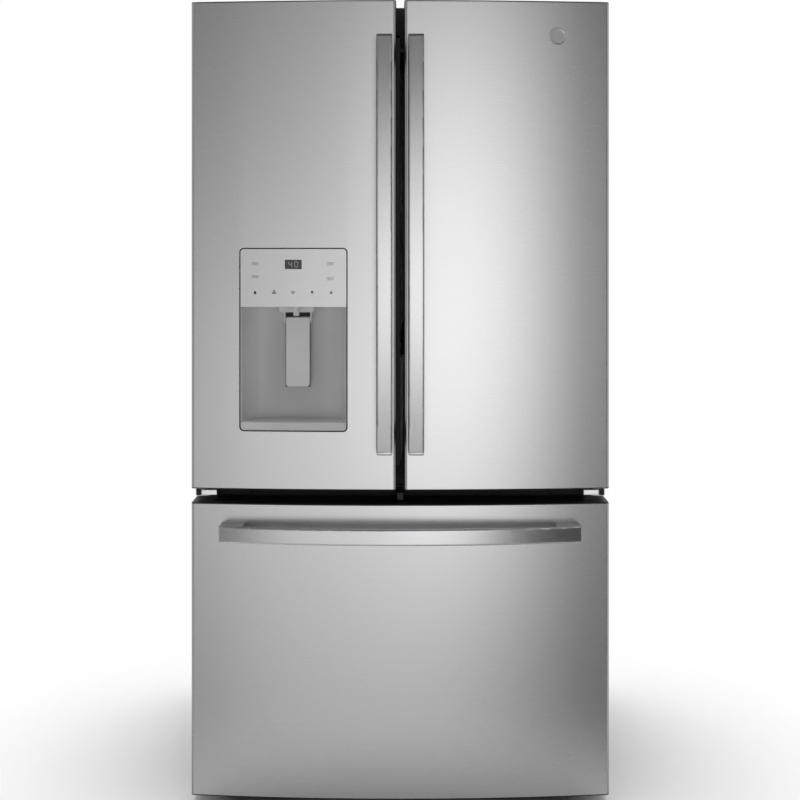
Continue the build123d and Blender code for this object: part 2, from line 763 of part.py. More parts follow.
def condenser():
    """The coil that the fan cools, standing on the floor plate."""
    y = (MACHINE_MIDDLE - CONDENSER_DEPTH / 2, MACHINE_MIDDLE + CONDENSER_DEPTH / 2)
    z = (CASE_BOTTOM, CASE_BOTTOM + CONDENSER_HEIGHT)
    return finned_coil(-CONDENSER_X, CONDENSER_HALF, y, z, CONDENSER_FINS, EVAPORATOR_ROWS)


def fan(radius):
    """A bladed wheel about y, centred on the origin."""
    half = FAN_HUB_LENGTH / 2
    wheel = rod_y(FAN_HUB, 0.0, (-half, half), 0.0)
    length = radius - FAN_HUB + FAN_SHEET
    blade = Pos(0, 0, radius - length / 2) * Rot(0, 0, FAN_PITCH) * Box(FAN_CHORD, FAN_SHEET, length)
    for index in range(FAN_BLADES):
        wheel = wheel + Rot(0, 360 * index / FAN_BLADES, 0) * blade
    return wheel - rod_y(FAN_SHAFT + RUNNING, 0.0, (-half - OVER, half + OVER), 0.0)


def condenser_fan_z():
    """Height of the condenser fan's shaft."""
    return CASE_BOTTOM + SHROUD_HEIGHT / 2


def condenser_fan_motor():
    """The shroud plate with the motor on a bar across its opening."""
    z = condenser_fan_z()
    low = -SHROUD_X - SHROUD_SHEET / 2
    high = -SHROUD_X + SHROUD_SHEET / 2
    y = (MACHINE_MIDDLE - SHROUD_HALF, MACHINE_MIDDLE + SHROUD_HALF)
    plate = block((low, high), y, (CASE_BOTTOM, CASE_BOTTOM + SHROUD_HEIGHT))
    hole = rod_x(CONDENSER_OPENING, (low - OVER, high + OVER), MACHINE_MIDDLE, z)
    bar_x = (high, high + FAN_ARM)
    bar = block(bar_x, y, (z - FAN_ARM, z + FAN_ARM))
    motor = rod_x(FAN_MOTOR, (bar_x[1], bar_x[1] + FAN_MOTOR_LENGTH), MACHINE_MIDDLE, z)
    shaft_end = low - FAN_HUB_LENGTH - FAN_AIR
    shaft = rod_x(FAN_SHAFT, (shaft_end, bar_x[1]), MACHINE_MIDDLE, z)
    return (plate - hole) + bar + motor + shaft


def condenser_fan():
    """The wheel that draws air through the condenser."""
    x = -SHROUD_X - SHROUD_SHEET / 2 - FAN_HUB_LENGTH / 2 - FAN_SHEET
    place = Pos(x, MACHINE_MIDDLE, condenser_fan_z())
    return place * Rot(0, 0, 90) * fan(CONDENSER_FAN)


def drain_pan():
    """The tray that the defrost water runs to."""
    compressor_end = COMPRESSOR_X - COMPRESSOR_RADIUS - COMPRESSOR_FOOT
    x = (PAN_FROM_SHROUD - SHROUD_X, compressor_end - PAN_FROM_COMPRESSOR)
    y = (MACHINE_MIDDLE - PAN_DEPTH / 2, MACHINE_MIDDLE + PAN_DEPTH / 2)
    z = (CASE_BOTTOM, CASE_BOTTOM + PAN_HEIGHT)
    tray = prism_z(rectangle(x, y, ROOM_CORNER), z)
    inner = rectangle(grown(x, -PAN_WALL), grown(y, -PAN_WALL), ROOM_CORNER - PAN_WALL)
    return tray - prism_z(inner, (z[0] + PAN_WALL, z[1] + OVER))


def rear_cover():
    """The louvred plate over the machine room."""
    x = (-MACHINE_HALF, MACHINE_HALF)
    y = (CASE_BACK - COVER_INSET - COVER_SHEET, CASE_BACK - COVER_INSET)
    cut_y = grown(y, OVER)
    plate = block(x, y, (CASE_BOTTOM, MACHINE_TOP))
    pitch = MACHINE_HEIGHT / (LOUVRES + 1)
    for centre in (-LOUVRE_X, LOUVRE_X):
        slot_x = (centre - LOUVRE_WIDTH / 2, centre + LOUVRE_WIDTH / 2)
        for index in range(LOUVRES):
            z = CASE_BOTTOM + pitch * (index + 1)
            slot = rectangle(slot_x, (z - LOUVRE_HEIGHT / 2, z + LOUVRE_HEIGHT / 2), LOUVRE_HEIGHT / 3)
            plate = plate - prism_y(slot, cut_y)
    plate = plate - rod_y(INLET_ROOM, VALVE_X, cut_y, VALVE_Z)
    gland = rod_y(GLAND_RADIUS, 0.0, (y[0], CASE_BACK), VALVE_Z)
    return plate + gland - rod_y(GLAND_BORE, 0.0, grown((y[0], CASE_BACK), OVER), VALVE_Z)


def water_valve():
    """The inlet valve behind the cover, with its threaded inlet."""
    cover = CASE_BACK - COVER_INSET - COVER_SHEET
    face = CASE_BACK - VALVE_RECESS
    x = (VALVE_X - VALVE_HALF, VALVE_X + VALVE_HALF)
    z = (VALVE_Z - VALVE_HALF, VALVE_Z + VALVE_HALF)
    body = block(x, (face - VALVE_BODY, face), z)
    inlet = rod_y(INLET_RADIUS, VALVE_X, (face, face + INLET_LENGTH), VALVE_Z)
    coil = rod_z(VALVE_HALF - CAP_LIP, VALVE_X, face - VALVE_BODY / 2, (z[1], z[1] + VALVE_BODY))
    arms = []
    for edge in (x[0], x[1] - COVER_SHEET):
        arms.append(block((edge, edge + COVER_SHEET), (face - OVER, cover), z))
    return fused([body, inlet, coil] + arms)


def evaporator():
    """The cold coil behind the freezer's back cover."""
    y = (ROOM_BACK - EVAPORATOR_DEPTH - OVER, ROOM_BACK - OVER)
    z = (STEP_TOP, STEP_TOP + EVAPORATOR_HEIGHT)
    return finned_coil(0.0, EVAPORATOR_HALF, y, z, EVAPORATOR_FINS, EVAPORATOR_ROWS)


def evaporator_cover():
    """The freezer's back wall: fan guard, return slots and fan motor."""
    y = (EVAPORATOR_Y - EVAPORATOR_COVER, EVAPORATOR_Y)
    cut_y = grown(y, OVER)
    plate = block((-ROOM_HALF, ROOM_HALF), y, (STEP_TOP, FREEZER_CEILING))
    plate = plate - rod_y(FAN_OPENING, 0.0, cut_y, FAN_Z)
    across = (FAN_Z - GUARD_BAR / 2, FAN_Z + GUARD_BAR / 2)
    bars = block((-FAN_OPENING, FAN_OPENING), y, across)
    upright = (FAN_Z - FAN_OPENING, FAN_Z + FAN_OPENING)
    bars = bars + block((-GUARD_BAR / 2, GUARD_BAR / 2), y, upright)
    pitch = 2 * ROOM_HALF / VENT_COUNT
    z = (STEP_TOP + 2 * VENT_HEIGHT, STEP_TOP + 3 * VENT_HEIGHT)
    for index in range(VENT_COUNT):
        x = -ROOM_HALF + pitch * (index + 0.5)
        plate = plate - block((x - VENT_WIDTH / 2, x + VENT_WIDTH / 2), cut_y, z)
    rear = EVAPORATOR_Y + FAN_HUB_LENGTH + 2 * FAN_AIR
    bridge = block((-FAN_OPENING - FAN_ARM, FAN_OPENING + FAN_ARM), (rear, rear + GUARD_BAR), across)
    legs = block((FAN_OPENING, FAN_OPENING + FAN_ARM), (EVAPORATOR_Y, rear + GUARD_BAR), across)
    motor_y = (rear + GUARD_BAR, rear + GUARD_BAR + FAN_MOTOR_LENGTH)
    motor = rod_y(FAN_MOTOR, 0.0, motor_y, FAN_Z)
    shaft = rod_y(FAN_SHAFT, 0.0, (EVAPORATOR_Y + FAN_AIR, rear + GUARD_BAR), FAN_Z)
    return fused([plate + bars, bridge, pair(legs), motor, shaft])


def evaporator_fan():
    """The wheel that blows the cold air."""
    y = EVAPORATOR_Y + FAN_AIR + FAN_HUB_LENGTH / 2
    return Pos(0, y, FAN_Z) * fan(FAN_RADIUS)


def back_wall_height():
    """Height of the air duct and shelf tracks on the back wall."""
    return (DUCT_BOTTOM, FRIDGE_CEILING - DUCT_BELOW_CEILING)


def air_duct():
    """The cold air duct up the middle of the back wall."""
    z = back_wall_height()
    y = (ROOM_BACK - DUCT_DEPTH, ROOM_BACK)
    duct = block((-DUCT_HALF, DUCT_HALF), y, z)
    front = duct.edges().group_by(Axis.Y)[0].filter_by(Axis.Z)
    duct = fillet(front, radius=DUCT_EDGE)
    pitch = (z[1] - z[0]) / DUCT_VENTS
    for index in range(DUCT_VENTS):
        middle = z[0] + pitch * (index + 0.5)
        vent_z = (middle - DUCT_VENT_HEIGHT / 2, middle + DUCT_VENT_HEIGHT / 2)
        vent = block((DUCT_EDGE, DUCT_HALF - DUCT_EDGE), (y[0] - OVER, y[0] + DUCT_EDGE), vent_z)
        duct = duct - pair(vent)
    return duct


def track_places():
    """The four tracks' positions across the back wall."""
    outer = ROOM_HALF - TRACK_OUTER_IN
    return (-outer, -TRACK_INNER, TRACK_INNER, outer)


def shelf_tracks():
    """Slotted upright tracks that the shelves hook into."""
    z = back_wall_height()
    y = (ROOM_BACK - TRACK_DEPTH, ROOM_BACK)
    pitch = (z[1] - z[0]) / TRACK_SLOTS
    tracks = []
    for x in track_places():
        track = block((x - TRACK_HALF, x + TRACK_HALF), y, z)
        for index in range(TRACK_SLOTS):
            middle = z[0] + pitch * (index + 0.5)
            slot_x = (x - TRACK_SLOT_WIDTH / 2, x + TRACK_SLOT_WIDTH / 2)
            slot_z = (middle - TRACK_SLOT_HEIGHT / 2, middle + TRACK_SLOT_HEIGHT / 2)
            track = track - block(slot_x, (y[0] - OVER, y[1] - CAP_LIP), slot_z)
        tracks.append(track)
    return together(tracks)


def shelf_plans():
    """Side, height and front of each glass shelf."""
    return (
        (-1, SHELF_LOW, SHELF_FRONT),
        (1, SHELF_LOW, SHELF_FRONT),
        (-1, SHELF_HIGH, ICE_SHELF_FRONT),
        (1, SHELF_HIGH, SHELF_FRONT),
    )


def shelf_span(side):
    """A half shelf's limits across the room."""
    inner = side * SHELF_MIDDLE
    outer = side * (ROOM_HALF - SHELF_SIDE)
    return (min(inner, outer), max(inner, outer))


def shelf_glass():
    """The panes of the half shelves and of the crisper cover."""
    panes = []
    rear = ROOM_BACK - DUCT_DEPTH - SHELF_CLEAR
    for side, level, front in shelf_plans():
        y = (front + SHELF_BAR, rear)
        panes.append(block(shelf_span(side), y, (level, level + GLASS)))
    x = grown((-ROOM_HALF, ROOM_HALF), -SHELF_SIDE)
    y = (SHELF_FRONT + SHELF_BAR / 2, SHELF_FRONT + COVER_LENGTH - SHELF_BAR / 2)
    panes.append(block(x, y, (COVER_TOP, COVER_TOP + GLASS)))
    return together(panes)


def shelf_frame(side, level, front):
    """Cantilever arms with a trim along the front of one half shelf."""
    rear = ROOM_BACK - TRACK_DEPTH
    span = shelf_span(side)
    arm_face = make_face(
        Polyline(
            (front + SHELF_BAR / 2, level),
            (front + SHELF_BAR / 2, level - SHELF_ARM_FRONT),
            (rear, level - SHELF_ARM_REAR),
            (rear, level),
            close=True,
        )
    )
    trim = block(span, (front, front + SHELF_BAR), (level - SHELF_ARM_FRONT, level + GLASS + SKIN))
    front_edges = trim.edges().group_by(Axis.Y)[0].filter_by(Axis.X)
    pieces = [fillet(front_edges, radius=SHELF_BAR / 3)]
    for x in track_places():
        if x * side > 0:
            pieces.append(prism_x(arm_face, (x - SHELF_ARM / 2, x + SHELF_ARM / 2)))
    back_bar = (rear - DUCT_DEPTH - SHELF_BAR, rear - DUCT_DEPTH)
    bar_x = grown(span, -SHELF_BAR)
    pieces.append(block(bar_x, back_bar, (level - SHELF_ARM_FRONT, level)))
    return fused(pieces)


def shelf_frames():
    """The frames of all four half shelves."""
    return together([shelf_frame(*plan) for plan in shelf_plans()])


def crisper_cover():
    """The frame over the crispers, with their ledges and divider."""
    x = (-ROOM_HALF, ROOM_HALF)
    y = (SHELF_FRONT, SHELF_FRONT + COVER_LENGTH)
    z = (COVER_TOP - COVER_THICK, COVER_TOP)
    frame = block(x, y, z)
    window_y = grown(y, -COVER_RIM)
    window = block((COVER_RIM / 2, ROOM_HALF - COVER_RIM), window_y, grown(z, OVER))
    frame = frame - pair(window)
    ledge_z = (z[0] - LEDGE_DROP, z[0] - LEDGE_DROP + LEDGE_THICK)
    ledge = block((ROOM_HALF - LEDGE, ROOM_HALF), y, ledge_z)
    hanger = block((ROOM_HALF - CRISPER_WALL, ROOM_HALF), y, (ledge_z[0], z[0]))
    divider = block((-DIVIDER_HALF, DIVIDER_HALF), y, (FRIDGE_FLOOR, z[0]))
    shelf_x = (-DIVIDER_HALF - LEDGE, DIVIDER_HALF + LEDGE)
    return fused([frame, pair(ledge + hanger), divider, block(shelf_x, y, ledge_z)])


def open_box(x, y, z, wall, corner):
    """A moulded tray, open at the top, with rounded upright corners."""
    outside = prism_z(rectangle(x, y, corner), z)
    inner = rectangle(grown(x, -wall), grown(y, -wall), corner - wall)
    return outside - prism_z(inner, (z[0] + wall, z[1] + OVER))


def crisper(side):
    """A produce drawer that hangs by its rim; side is -1 left, 1 right."""
    inner = DIVIDER_HALF + LEDGE + CRISPER_SIDE
    outer = ROOM_HALF - LEDGE - CRISPER_SIDE
    y = (CRISPER_FRONT, CRISPER_FRONT + CRISPER_LENGTH)
    z = (FRIDGE_FLOOR + CRISPER_FLOOR, CRISPER_TOP + CRISPER_RIM + FIT)
    box = open_box((inner, outer), y, z, CRISPER_WALL, CRISPER_CORNER)
    rim_x = (DIVIDER_HALF + CRISPER_SIDE, ROOM_HALF - CRISPER_WALL - CRISPER_SIDE)
    rim_y = (y[0] + CRISPER_CORNER, y[1])
    rim = block(rim_x, rim_y, (CRISPER_TOP + FIT, z[1]))
    rim = rim - block((inner + CRISPER_WALL, outer - CRISPER_WALL), rim_y, grown(z, OVER))
    grip_z = (z[1] - CRISPER_GRIP_HEIGHT, z[1])
    grip_x = grown((inner, outer), -CRISPER_CORNER)
    grip = block(grip_x, (y[0] - CRISPER_SETBACK, y[0] + CRISPER_GRIP), grip_z)
    under = (grip_z[0], grip_z[1] - CRISPER_WALL)
    hollow = block(grown(grip_x, -CRISPER_WALL), (y[0] - CAP_LIP, y[0] + CRISPER_GRIP - CAP_LIP), under)
    body = fused([box, rim, grip - hollow])
    if side < 0:
        return mirror(body, about=Plane.YZ)
    return body


def lamp_lens():
    """The lens of the ceiling lamp."""
    y = (CASE_FRONT + LAMP_SETBACK, CASE_FRONT + LAMP_SETBACK + LAMP_LENGTH)
    lens = block((-LAMP_HALF, LAMP_HALF), y, (FRIDGE_CEILING - LAMP_DROP, FRIDGE_CEILING))
    return fillet(lens.edges().group_by(Axis.Z)[0], radius=LAMP_DROP / 2)


def top_hinges():
    """Hinge leaves on the case, with pins down into the doors."""
    x = (HINGE_X - HINGE_NOSE, HINGE_X + HINGE_NOSE)
    z = (CASE_TOP + HINGE_LIFT, CASE_TOP + HINGE_LIFT + HINGE_PLATE)
    rear = CASE_FRONT + HINGE_LENGTH
    leaf = block(x, (HINGE_Y, rear), z) + rod_z(HINGE_NOSE, HINGE_X, HINGE_Y, z)
    pad = block(x, (CASE_FRONT + FIT, rear), (CASE_TOP, z[0]))
    pin = rod_z(PIN_RADIUS, HINGE_X, HINGE_Y, (DOOR_TOP - PIN_DEPTH, z[0]))
    return pair(leaf + pad + pin)


def cover_profile(inset):
    """Side view of a hinge cover, low at the front."""
    front = CASE_FRONT + FIT + inset
    rear = CASE_FRONT + HINGE_COVER_DEPTH - inset
    low = CASE_TOP + HINGE_COVER_LOW - inset
    high = CASE_TOP + HINGE_COVER_HIGH - inset
    middle = (front + rear) / 2
    foot = CASE_TOP
    if inset:
        foot = CASE_TOP - OVER
    return make_face(
        Polyline((front, foot), (rear, foot), (rear, high), (middle, high), (front, low), close=True)
    )


def hinge_covers():
    """Moulded covers over the hinge leaves."""
    x = (CASE_HALF - CASE_CORNER - HINGE_COVER_WIDTH, CASE_HALF - CASE_CORNER)
    shell = prism_x(cover_profile(0.0), x)
    shell = shell - prism_x(cover_profile(HINGE_COVER_WALL), grown(x, -HINGE_COVER_WALL))
    slot_x = grown((HINGE_X - HINGE_NOSE, HINGE_X + HINGE_NOSE), FIT)
    slot_z = (CASE_TOP - OVER, CASE_TOP + HINGE_LIFT + HINGE_PLATE + FIT)
    slot = block(slot_x, (CASE_FRONT - OVER, CASE_FRONT + HINGE_LENGTH + FIT), slot_z)
    return pair(shell - slot)


def center_hinges():
    """Cast arms on the middle rail, with pins up into the doors."""
    x = (HINGE_X - ARM_WIDTH / 2, HINGE_X + ARM_WIDTH / 2)
    z = (MID_Z - ARM_BELOW, MID_Z + ARM_ABOVE)
    plan = rectangle(x, (HINGE_Y - HINGE_NOSE, CASE_FRONT - ARM_FLANGE))
    plan = fillet(plan.vertices().sort_by(Axis.Y)[:2], radius=HINGE_NOSE / 2)
    arm = prism_z(plan, z)
    flange_x = (HINGE_X - 2 * ARM_WIDTH, CASE_HALF - CHANNEL_IN)
    flange_z = (DRAWER_TOP + 2 * SKIN, DOOR_BOTTOM - 2 * SKIN)
    flange = block(flange_x, (CASE_FRONT - ARM_FLANGE, CASE_FRONT), flange_z)
    collar = rod_z(2 * PIN_RADIUS, HINGE_X, HINGE_Y, (z[1], DOOR_BOTTOM - SEAL_CLEAR))
    pin = rod_z(PIN_RADIUS, HINGE_X, HINGE_Y, (z[1], DOOR_BOTTOM + PIN_DEPTH))
    return pair(fused([arm, flange, collar, pin]))


def hinge_bores(side):
    """The holes in a door's caps that turn on the hinge pins."""
    x = side * HINGE_X
    radius = PIN_RADIUS + RUNNING
    top = rod_z(radius, x, HINGE_Y, (DOOR_TOP - PIN_DEPTH - SEAL_CLEAR, DOOR_TOP + OVER))
    foot = rod_z(radius, x, HINGE_Y, (DOOR_BOTTOM - OVER, DOOR_BOTTOM + PIN_DEPTH + SEAL_CLEAR))
    return [top, foot]


def door_caps(x, side):
    """A door's caps, bored for the hinge pins."""
    caps = front_caps(x, DOOR_Z)
    bores = hinge_bores(side)
    return together([caps[0] - bores[0], caps[1] - bores[1]])


def door_gasket(x, side):
    """The seal of a door, set in from the hinge side and the top."""
    if side < 0:
        span = (x[0] + GASKET_SIDE, x[1] - GASKET_INNER)
    else:
        span = (x[0] + GASKET_INNER, x[1] - GASKET_SIDE)
    return gasket(span, (DOOR_BOTTOM + GASKET_INNER, DOOR_TOP - GASKET_SIDE))


def dispenser_space(grow):
    """The opening for the dispenser, through the sheet and into the foam."""
    x = grown((-DISPENSER_CENTRE - DISPENSER_WIDTH / 2, -DISPENSER_CENTRE + DISPENSER_WIDTH / 2), grow)
    z = grown((DISPENSER_BOTTOM, DISPENSER_TOP), grow)
    outline = rectangle(x, z, DISPENSER_CORNER + grow)
    return prism_y(outline, (DOOR_FRONT - OVER, HOUSING_BACK + grow))


def ice_passage(grow):
    """The way for the ice from the ice box down to the chute."""
    half = CHUTE_TOP_WIDTH / 2 + grow
    front = DOOR_FRONT + CHUTE_FRONT - grow
    rear = front + CHUTE_TOP_DEPTH + CHUTE_MOUTH_DEPTH / 4 + 2 * grow
    return (SPOUT_X - half, SPOUT_X + half), (front, rear)


def left_door_skin():
    """Left sheet, pierced for the dispenser."""
    return front_skin(LEFT, DOOR_Z) - dispenser_space(SEAM)


def left_door_liner():
    """Left inner door: dike, dispenser bulge and mullion lugs."""
    dike_x = (-ROOM_HALF + DIKE_CLEAR, -DIKE_INNER)
    body = front_core(LEFT, DOOR_Z) + dike(dike_x)
    half = DISPENSER_WIDTH / 2 + BULGE_MARGIN
    bulge_x = (-DISPENSER_CENTRE - half, -DISPENSER_CENTRE + half)
    bulge_z = (DISPENSER_BOTTOM - BULGE_MARGIN, DISPENSER_TOP + BULGE_MARGIN)
    body = body + block(bulge_x, (DOOR_BACK, DOOR_BACK + BULGE), bulge_z)
    for z in lug_levels():
        lug_z = (z - LUG_HEIGHT / 2, z + LUG_HEIGHT / 2)
        lug_x = (-MULLION_PIVOT_X - LUG_HALF, -MULLION_PIVOT_X + LUG_HALF)
        lug = block(lug_x, (DOOR_BACK, MULLION_Y), lug_z)
        lug = lug + rod_z(LUG_HALF, -MULLION_PIVOT_X, MULLION_Y, lug_z)
        bore = rod_z(MULLION_PIN + RUNNING, -MULLION_PIVOT_X, MULLION_Y, grown(lug_z, OVER))
        body = body + (lug - bore)
    x, y = ice_passage(LEDGE / 2)
    duct = block(x, (y[0], DOOR_BACK + BULGE), (DISPENSER_TOP - OVER, ICE_BOTTOM + ICE_DEPTH / 4))
    return body - dispenser_space(SEAM) - duct


def right_door_liner():
    """Right inner door with its dike."""
    return front_core(RIGHT, DOOR_Z) + dike((DIKE_INNER, ROOM_HALF - DIKE_CLEAR))


def alcove():
    """The hollow for a glass, with rounded back corners."""
    half = DISPENSER_WIDTH / 2 - HOUSING_WALL
    x = (-DISPENSER_CENTRE - half, -DISPENSER_CENTRE + half)
    plan = rectangle(x, (DOOR_FRONT - OVER, ALCOVE_BACK))
    plan = fillet(plan.vertices().sort_by(Axis.Y)[-2:], radius=ALCOVE_CORNER)
    return prism_z(plan, (DISPENSER_BOTTOM + HOUSING_WALL, PANEL_BOTTOM))


def door_body(z):
    """The left door's outer form, which trims what lies flush with it."""
    return prism_z(front_plan(LEFT, 0.0, DOOR_BACK), z)


def dispenser_housing():
    """Moulded alcove with the ears that carry the paddle."""
    z = (DISPENSER_BOTTOM, DISPENSER_TOP)
    body = dispenser_space(0.0) & door_body(z)
    above = block((-HALF, 0.0), (DOOR_FRONT - OVER, PANEL_REAR), (PANEL_BOTTOM, DISPENSER_TOP + OVER))
    x, y = ice_passage(CHUTE_WALL)
    passage = block(x, y, (PANEL_BOTTOM - OVER, DISPENSER_TOP + OVER))
    body = body - alcove() - above - passage
    inner = PADDLE_WIDTH / 2 + EAR_GAP
    ear_y = (PADDLE_Y - EAR_HALF, PADDLE_Y + EAR_HALF)
    for edge in (SPOUT_X - inner - EAR, SPOUT_X + inner):
        lug = block((edge, edge + EAR), ear_y, (PADDLE_PIVOT, PANEL_BOTTOM))
        lug = lug + rod_x(EAR_HALF, (edge, edge + EAR), PADDLE_Y, PADDLE_PIVOT)
        stay = block((edge, edge + EAR), (ear_y[1], ALCOVE_BACK + SKIN), (PADDLE_PIVOT, PANEL_BOTTOM))
        bore = rod_x(PADDLE_PIN + RUNNING, grown((edge, edge + EAR), OVER), PADDLE_Y, PADDLE_PIVOT)
        body = body + (lug + stay - bore)
    return body


def control_panel():
    """The key panel over the alcove, flush with the bowed door."""
    z = (PANEL_BOTTOM + FIT, DISPENSER_TOP)
    panel = dispenser_space(0.0) & door_body(z)
    behind = block((-HALF, 0.0), (PANEL_REAR, DOOR_BACK), grown(z, OVER))
    return panel - behind - display_space(FIT)


def display_space(grow):
    """The window's place in the key panel."""
    x = grown((-DISPENSER_CENTRE - DISPLAY_WIDTH / 2, -DISPENSER_CENTRE + DISPLAY_WIDTH / 2), grow)
    top = DISPENSER_TOP - DISPLAY_DROP
    z = grown((top - DISPLAY_HEIGHT, top), grow)
    floor = bow_y(-DISPENSER_CENTRE) + DISPLAY_DEPTH
    return prism_y(rectangle(x, z, SKIN), (DOOR_FRONT - OVER, floor))


def display_window():
    """The display's lens, just under flush."""
    z = (PANEL_BOTTOM, DISPENSER_TOP)
    return display_space(0.0) & prism_z(front_plan(LEFT, FIT / 2, DOOR_BACK), z)


def chute_plan(width, depth, front, inset):
    """A rectangle of the ice chute, as seen from above."""
    x = grown((SPOUT_X - width / 2, SPOUT_X + width / 2), -inset)
    y = grown((front, front + depth), -inset)
    return rectangle(x, y, CHUTE_WALL + FIT)


def chute_form(inset, extra):
    """The tapered form of the ice chute."""
    top = DISPENSER_TOP - CHUTE_TOP_DROP
    mouth = PANEL_BOTTOM - CHUTE_MOUTH_DROP
    front = DOOR_FRONT + CHUTE_FRONT
    high = Pos(0, 0, top + extra) * chute_plan(CHUTE_TOP_WIDTH, CHUTE_TOP_DEPTH, front, inset)
    low = Pos(0, 0, mouth - extra) * chute_plan(CHUTE_MOUTH_WIDTH, CHUTE_MOUTH_DEPTH, front, inset)
    return loft([low.face(), high.face()])


def flap_pivot():
    """Depth and height of the flap's pin."""
    return DOOR_FRONT + CHUTE_FRONT + FLAP_DEPTH + FLAP_PIN, DISPENSER_TOP - CHUTE_TOP_DROP - FLAP_DROP


def flap_half():
    """Half the flap's width, inside the tapering chute."""
    return CHUTE_TOP_WIDTH / 2 - CHUTE_WALL - 2 * FLAP_SIDE


def ice_chute():
    """The hollow chute, and the water nozzle in front of it."""
    tube = chute_form(0.0, 0.0) - chute_form(CHUTE_WALL, FIT)
    y, z = flap_pivot()
    span = (SPOUT_X - CHUTE_TOP_WIDTH, SPOUT_X + CHUTE_TOP_WIDTH)
    tube = tube - rod_x(FLAP_PIN + RUNNING, span, y, z)
    nozzle_y = DOOR_FRONT + CHUTE_FRONT - NOZZLE_RADIUS - FIT
    nozzle_z = (PANEL_BOTTOM - NOZZLE_DROP, PANEL_BOTTOM)
    nozzle = rod_z(NOZZLE_RADIUS, SPOUT_X, nozzle_y, nozzle_z)
    nozzle = chamfer(nozzle.edges().group_by(Axis.Z)[0], length=SKIN)
    bore = rod_z(NOZZLE_BORE, SPOUT_X, nozzle_y, (nozzle_z[0] - OVER, nozzle_z[1] - CAP_LIP))
    return together([tube, nozzle - bore])


def chute_flap():
    """The flap that closes the chute until the paddle is pressed."""
    y, z = flap_pivot()
    half = flap_half()
    plate_y = (y - FLAP_DEPTH + CHUTE_WALL + FLAP_SIDE, y)
    plate = block((SPOUT_X - half, SPOUT_X + half), plate_y, (z - FLAP_THICK / 2, z + FLAP_THICK / 2))
    reach = half + FLAP_SIDE + CHUTE_WALL / 2
    return plate + rod_x(FLAP_PIN, (SPOUT_X - reach, SPOUT_X + reach), y, z)


def dispenser_paddle():
    """The plate that a glass presses."""
    x = (SPOUT_X - PADDLE_WIDTH / 2, SPOUT_X + PADDLE_WIDTH / 2)
    y = (PADDLE_Y - PADDLE_THICK / 2, PADDLE_Y + PADDLE_THICK / 2)
    outline = rectangle(x, (PADDLE_TOP - PADDLE_HEIGHT, PADDLE_TOP))
    outline = fillet(outline.vertices().sort_by(Axis.Y)[:2], radius=PADDLE_CORNER)
    plate = prism_y(outline, y)
    front = plate.edges().group_by(Axis.Y)[0]
    plate = chamfer(front, length=SKIN)
    reach = EAR_GAP + EAR - SKIN
    return plate + rod_x(PADDLE_PIN, grown(x, reach), PADDLE_Y, PADDLE_PIVOT)


def drip_tray():
    """The shallow dished tray under the alcove, with the lip flush with the door."""
    half = DISPENSER_WIDTH / 2 - HOUSING_WALL - FIT
    x = (-DISPENSER_CENTRE - half, -DISPENSER_CENTRE + half)
    z = (DISPENSER_BOTTOM + HOUSING_WALL, TRAY_TOP)
    plan = rectangle(x, (DOOR_FRONT - OVER, ALCOVE_BACK - FIT))
    plan = fillet(plan.vertices().sort_by(Axis.Y)[-2:], radius=ALCOVE_CORNER - FIT)
    tray = prism_z(plan, z) & door_body(z)
    dish_y = (DOOR_FRONT + ALCOVE_CORNER, ALCOVE_BACK - TRAY_RIM)
    dish = rectangle(grown(x, -TRAY_RIM), dish_y, TRAY_RIM)
    tray = tray - prism_z(dish, (TRAY_TOP - TRAY_DISH, TRAY_TOP + OVER))
    return tray


def ice_box():
    """The insulated ice box on the inner door, open to the ice passage."""
    x = grown((-BIN_SPAN[1], -BIN_SPAN[0]), -FIT)
    y = (DOOR_BACK, DOOR_BACK + ICE_DEPTH)
    z = (ICE_BOTTOM, ICE_BOTTOM + ICE_HEIGHT)
    box = prism_z(rectangle(x, y), z)
    box = fillet(box.edges().group_by(Axis.Y)[-1], radius=ICE_WALL + FLANGE)
    hollow = block(grown(x, -ICE_WALL), (y[0] - OVER, y[1] - ICE_WALL), grown(z, -ICE_WALL))
    grip_z = (z[0] + ICE_DEPTH, z[0] + ICE_DEPTH + ALCOVE_CORNER)
    grip = block((x[1] - ALCOVE_CORNER, x[1] - BIN_CORNER), (y[1] - CAP_LIP, y[1] + OVER), grip_z)
    return box - hollow - grip


def door_bin(x, back, z):
    """One bin on the inside of a door."""
    y = (back, DOOR_BACK + BIN_DEPTH)
    return open_box(x, y, z, BIN_WALL, BIN_CORNER)


def right_door_bins():
    """The four bins of the right door."""
    x = grown(BIN_SPAN, -FIT)
    bins = []
    for drop in BIN_DROPS:
        level = FRIDGE_CEILING - drop
        bins.append(door_bin(x, DOOR_BACK + FIT, (level, level + BIN_HEIGHT)))
    return together(bins)


def left_door_bins():
    """The two bins of the left door, below and above the ice box."""
    x = grown((-BIN_SPAN[1], -BIN_SPAN[0]), -FIT)
    low = FRIDGE_CEILING - BIN_DROPS[0]
    high = ICE_BOTTOM + ICE_HEIGHT + TOP_BIN_ABOVE_ICE
    below = door_bin(x, DOOR_BACK + BULGE + FIT, (low, low + BIN_HEIGHT))
    above = door_bin(x, DOOR_BACK + FIT, (high, high + TOP_BIN_HEIGHT))
    return together([below, above])


def lug_levels():
    """Heights of the lugs that the mullion folds on."""
    low, high = mullion_height()
    pitch = (high - low) / MULLION_LUGS
    return [low + pitch * (index + 0.5) for index in range(MULLION_LUGS)]


def mullion_height():
    """The mullion's reach up the opening."""
    return FRIDGE_FLOOR + MULLION_END_CLEAR, FRIDGE_CEILING - MULLION_END_CLEAR


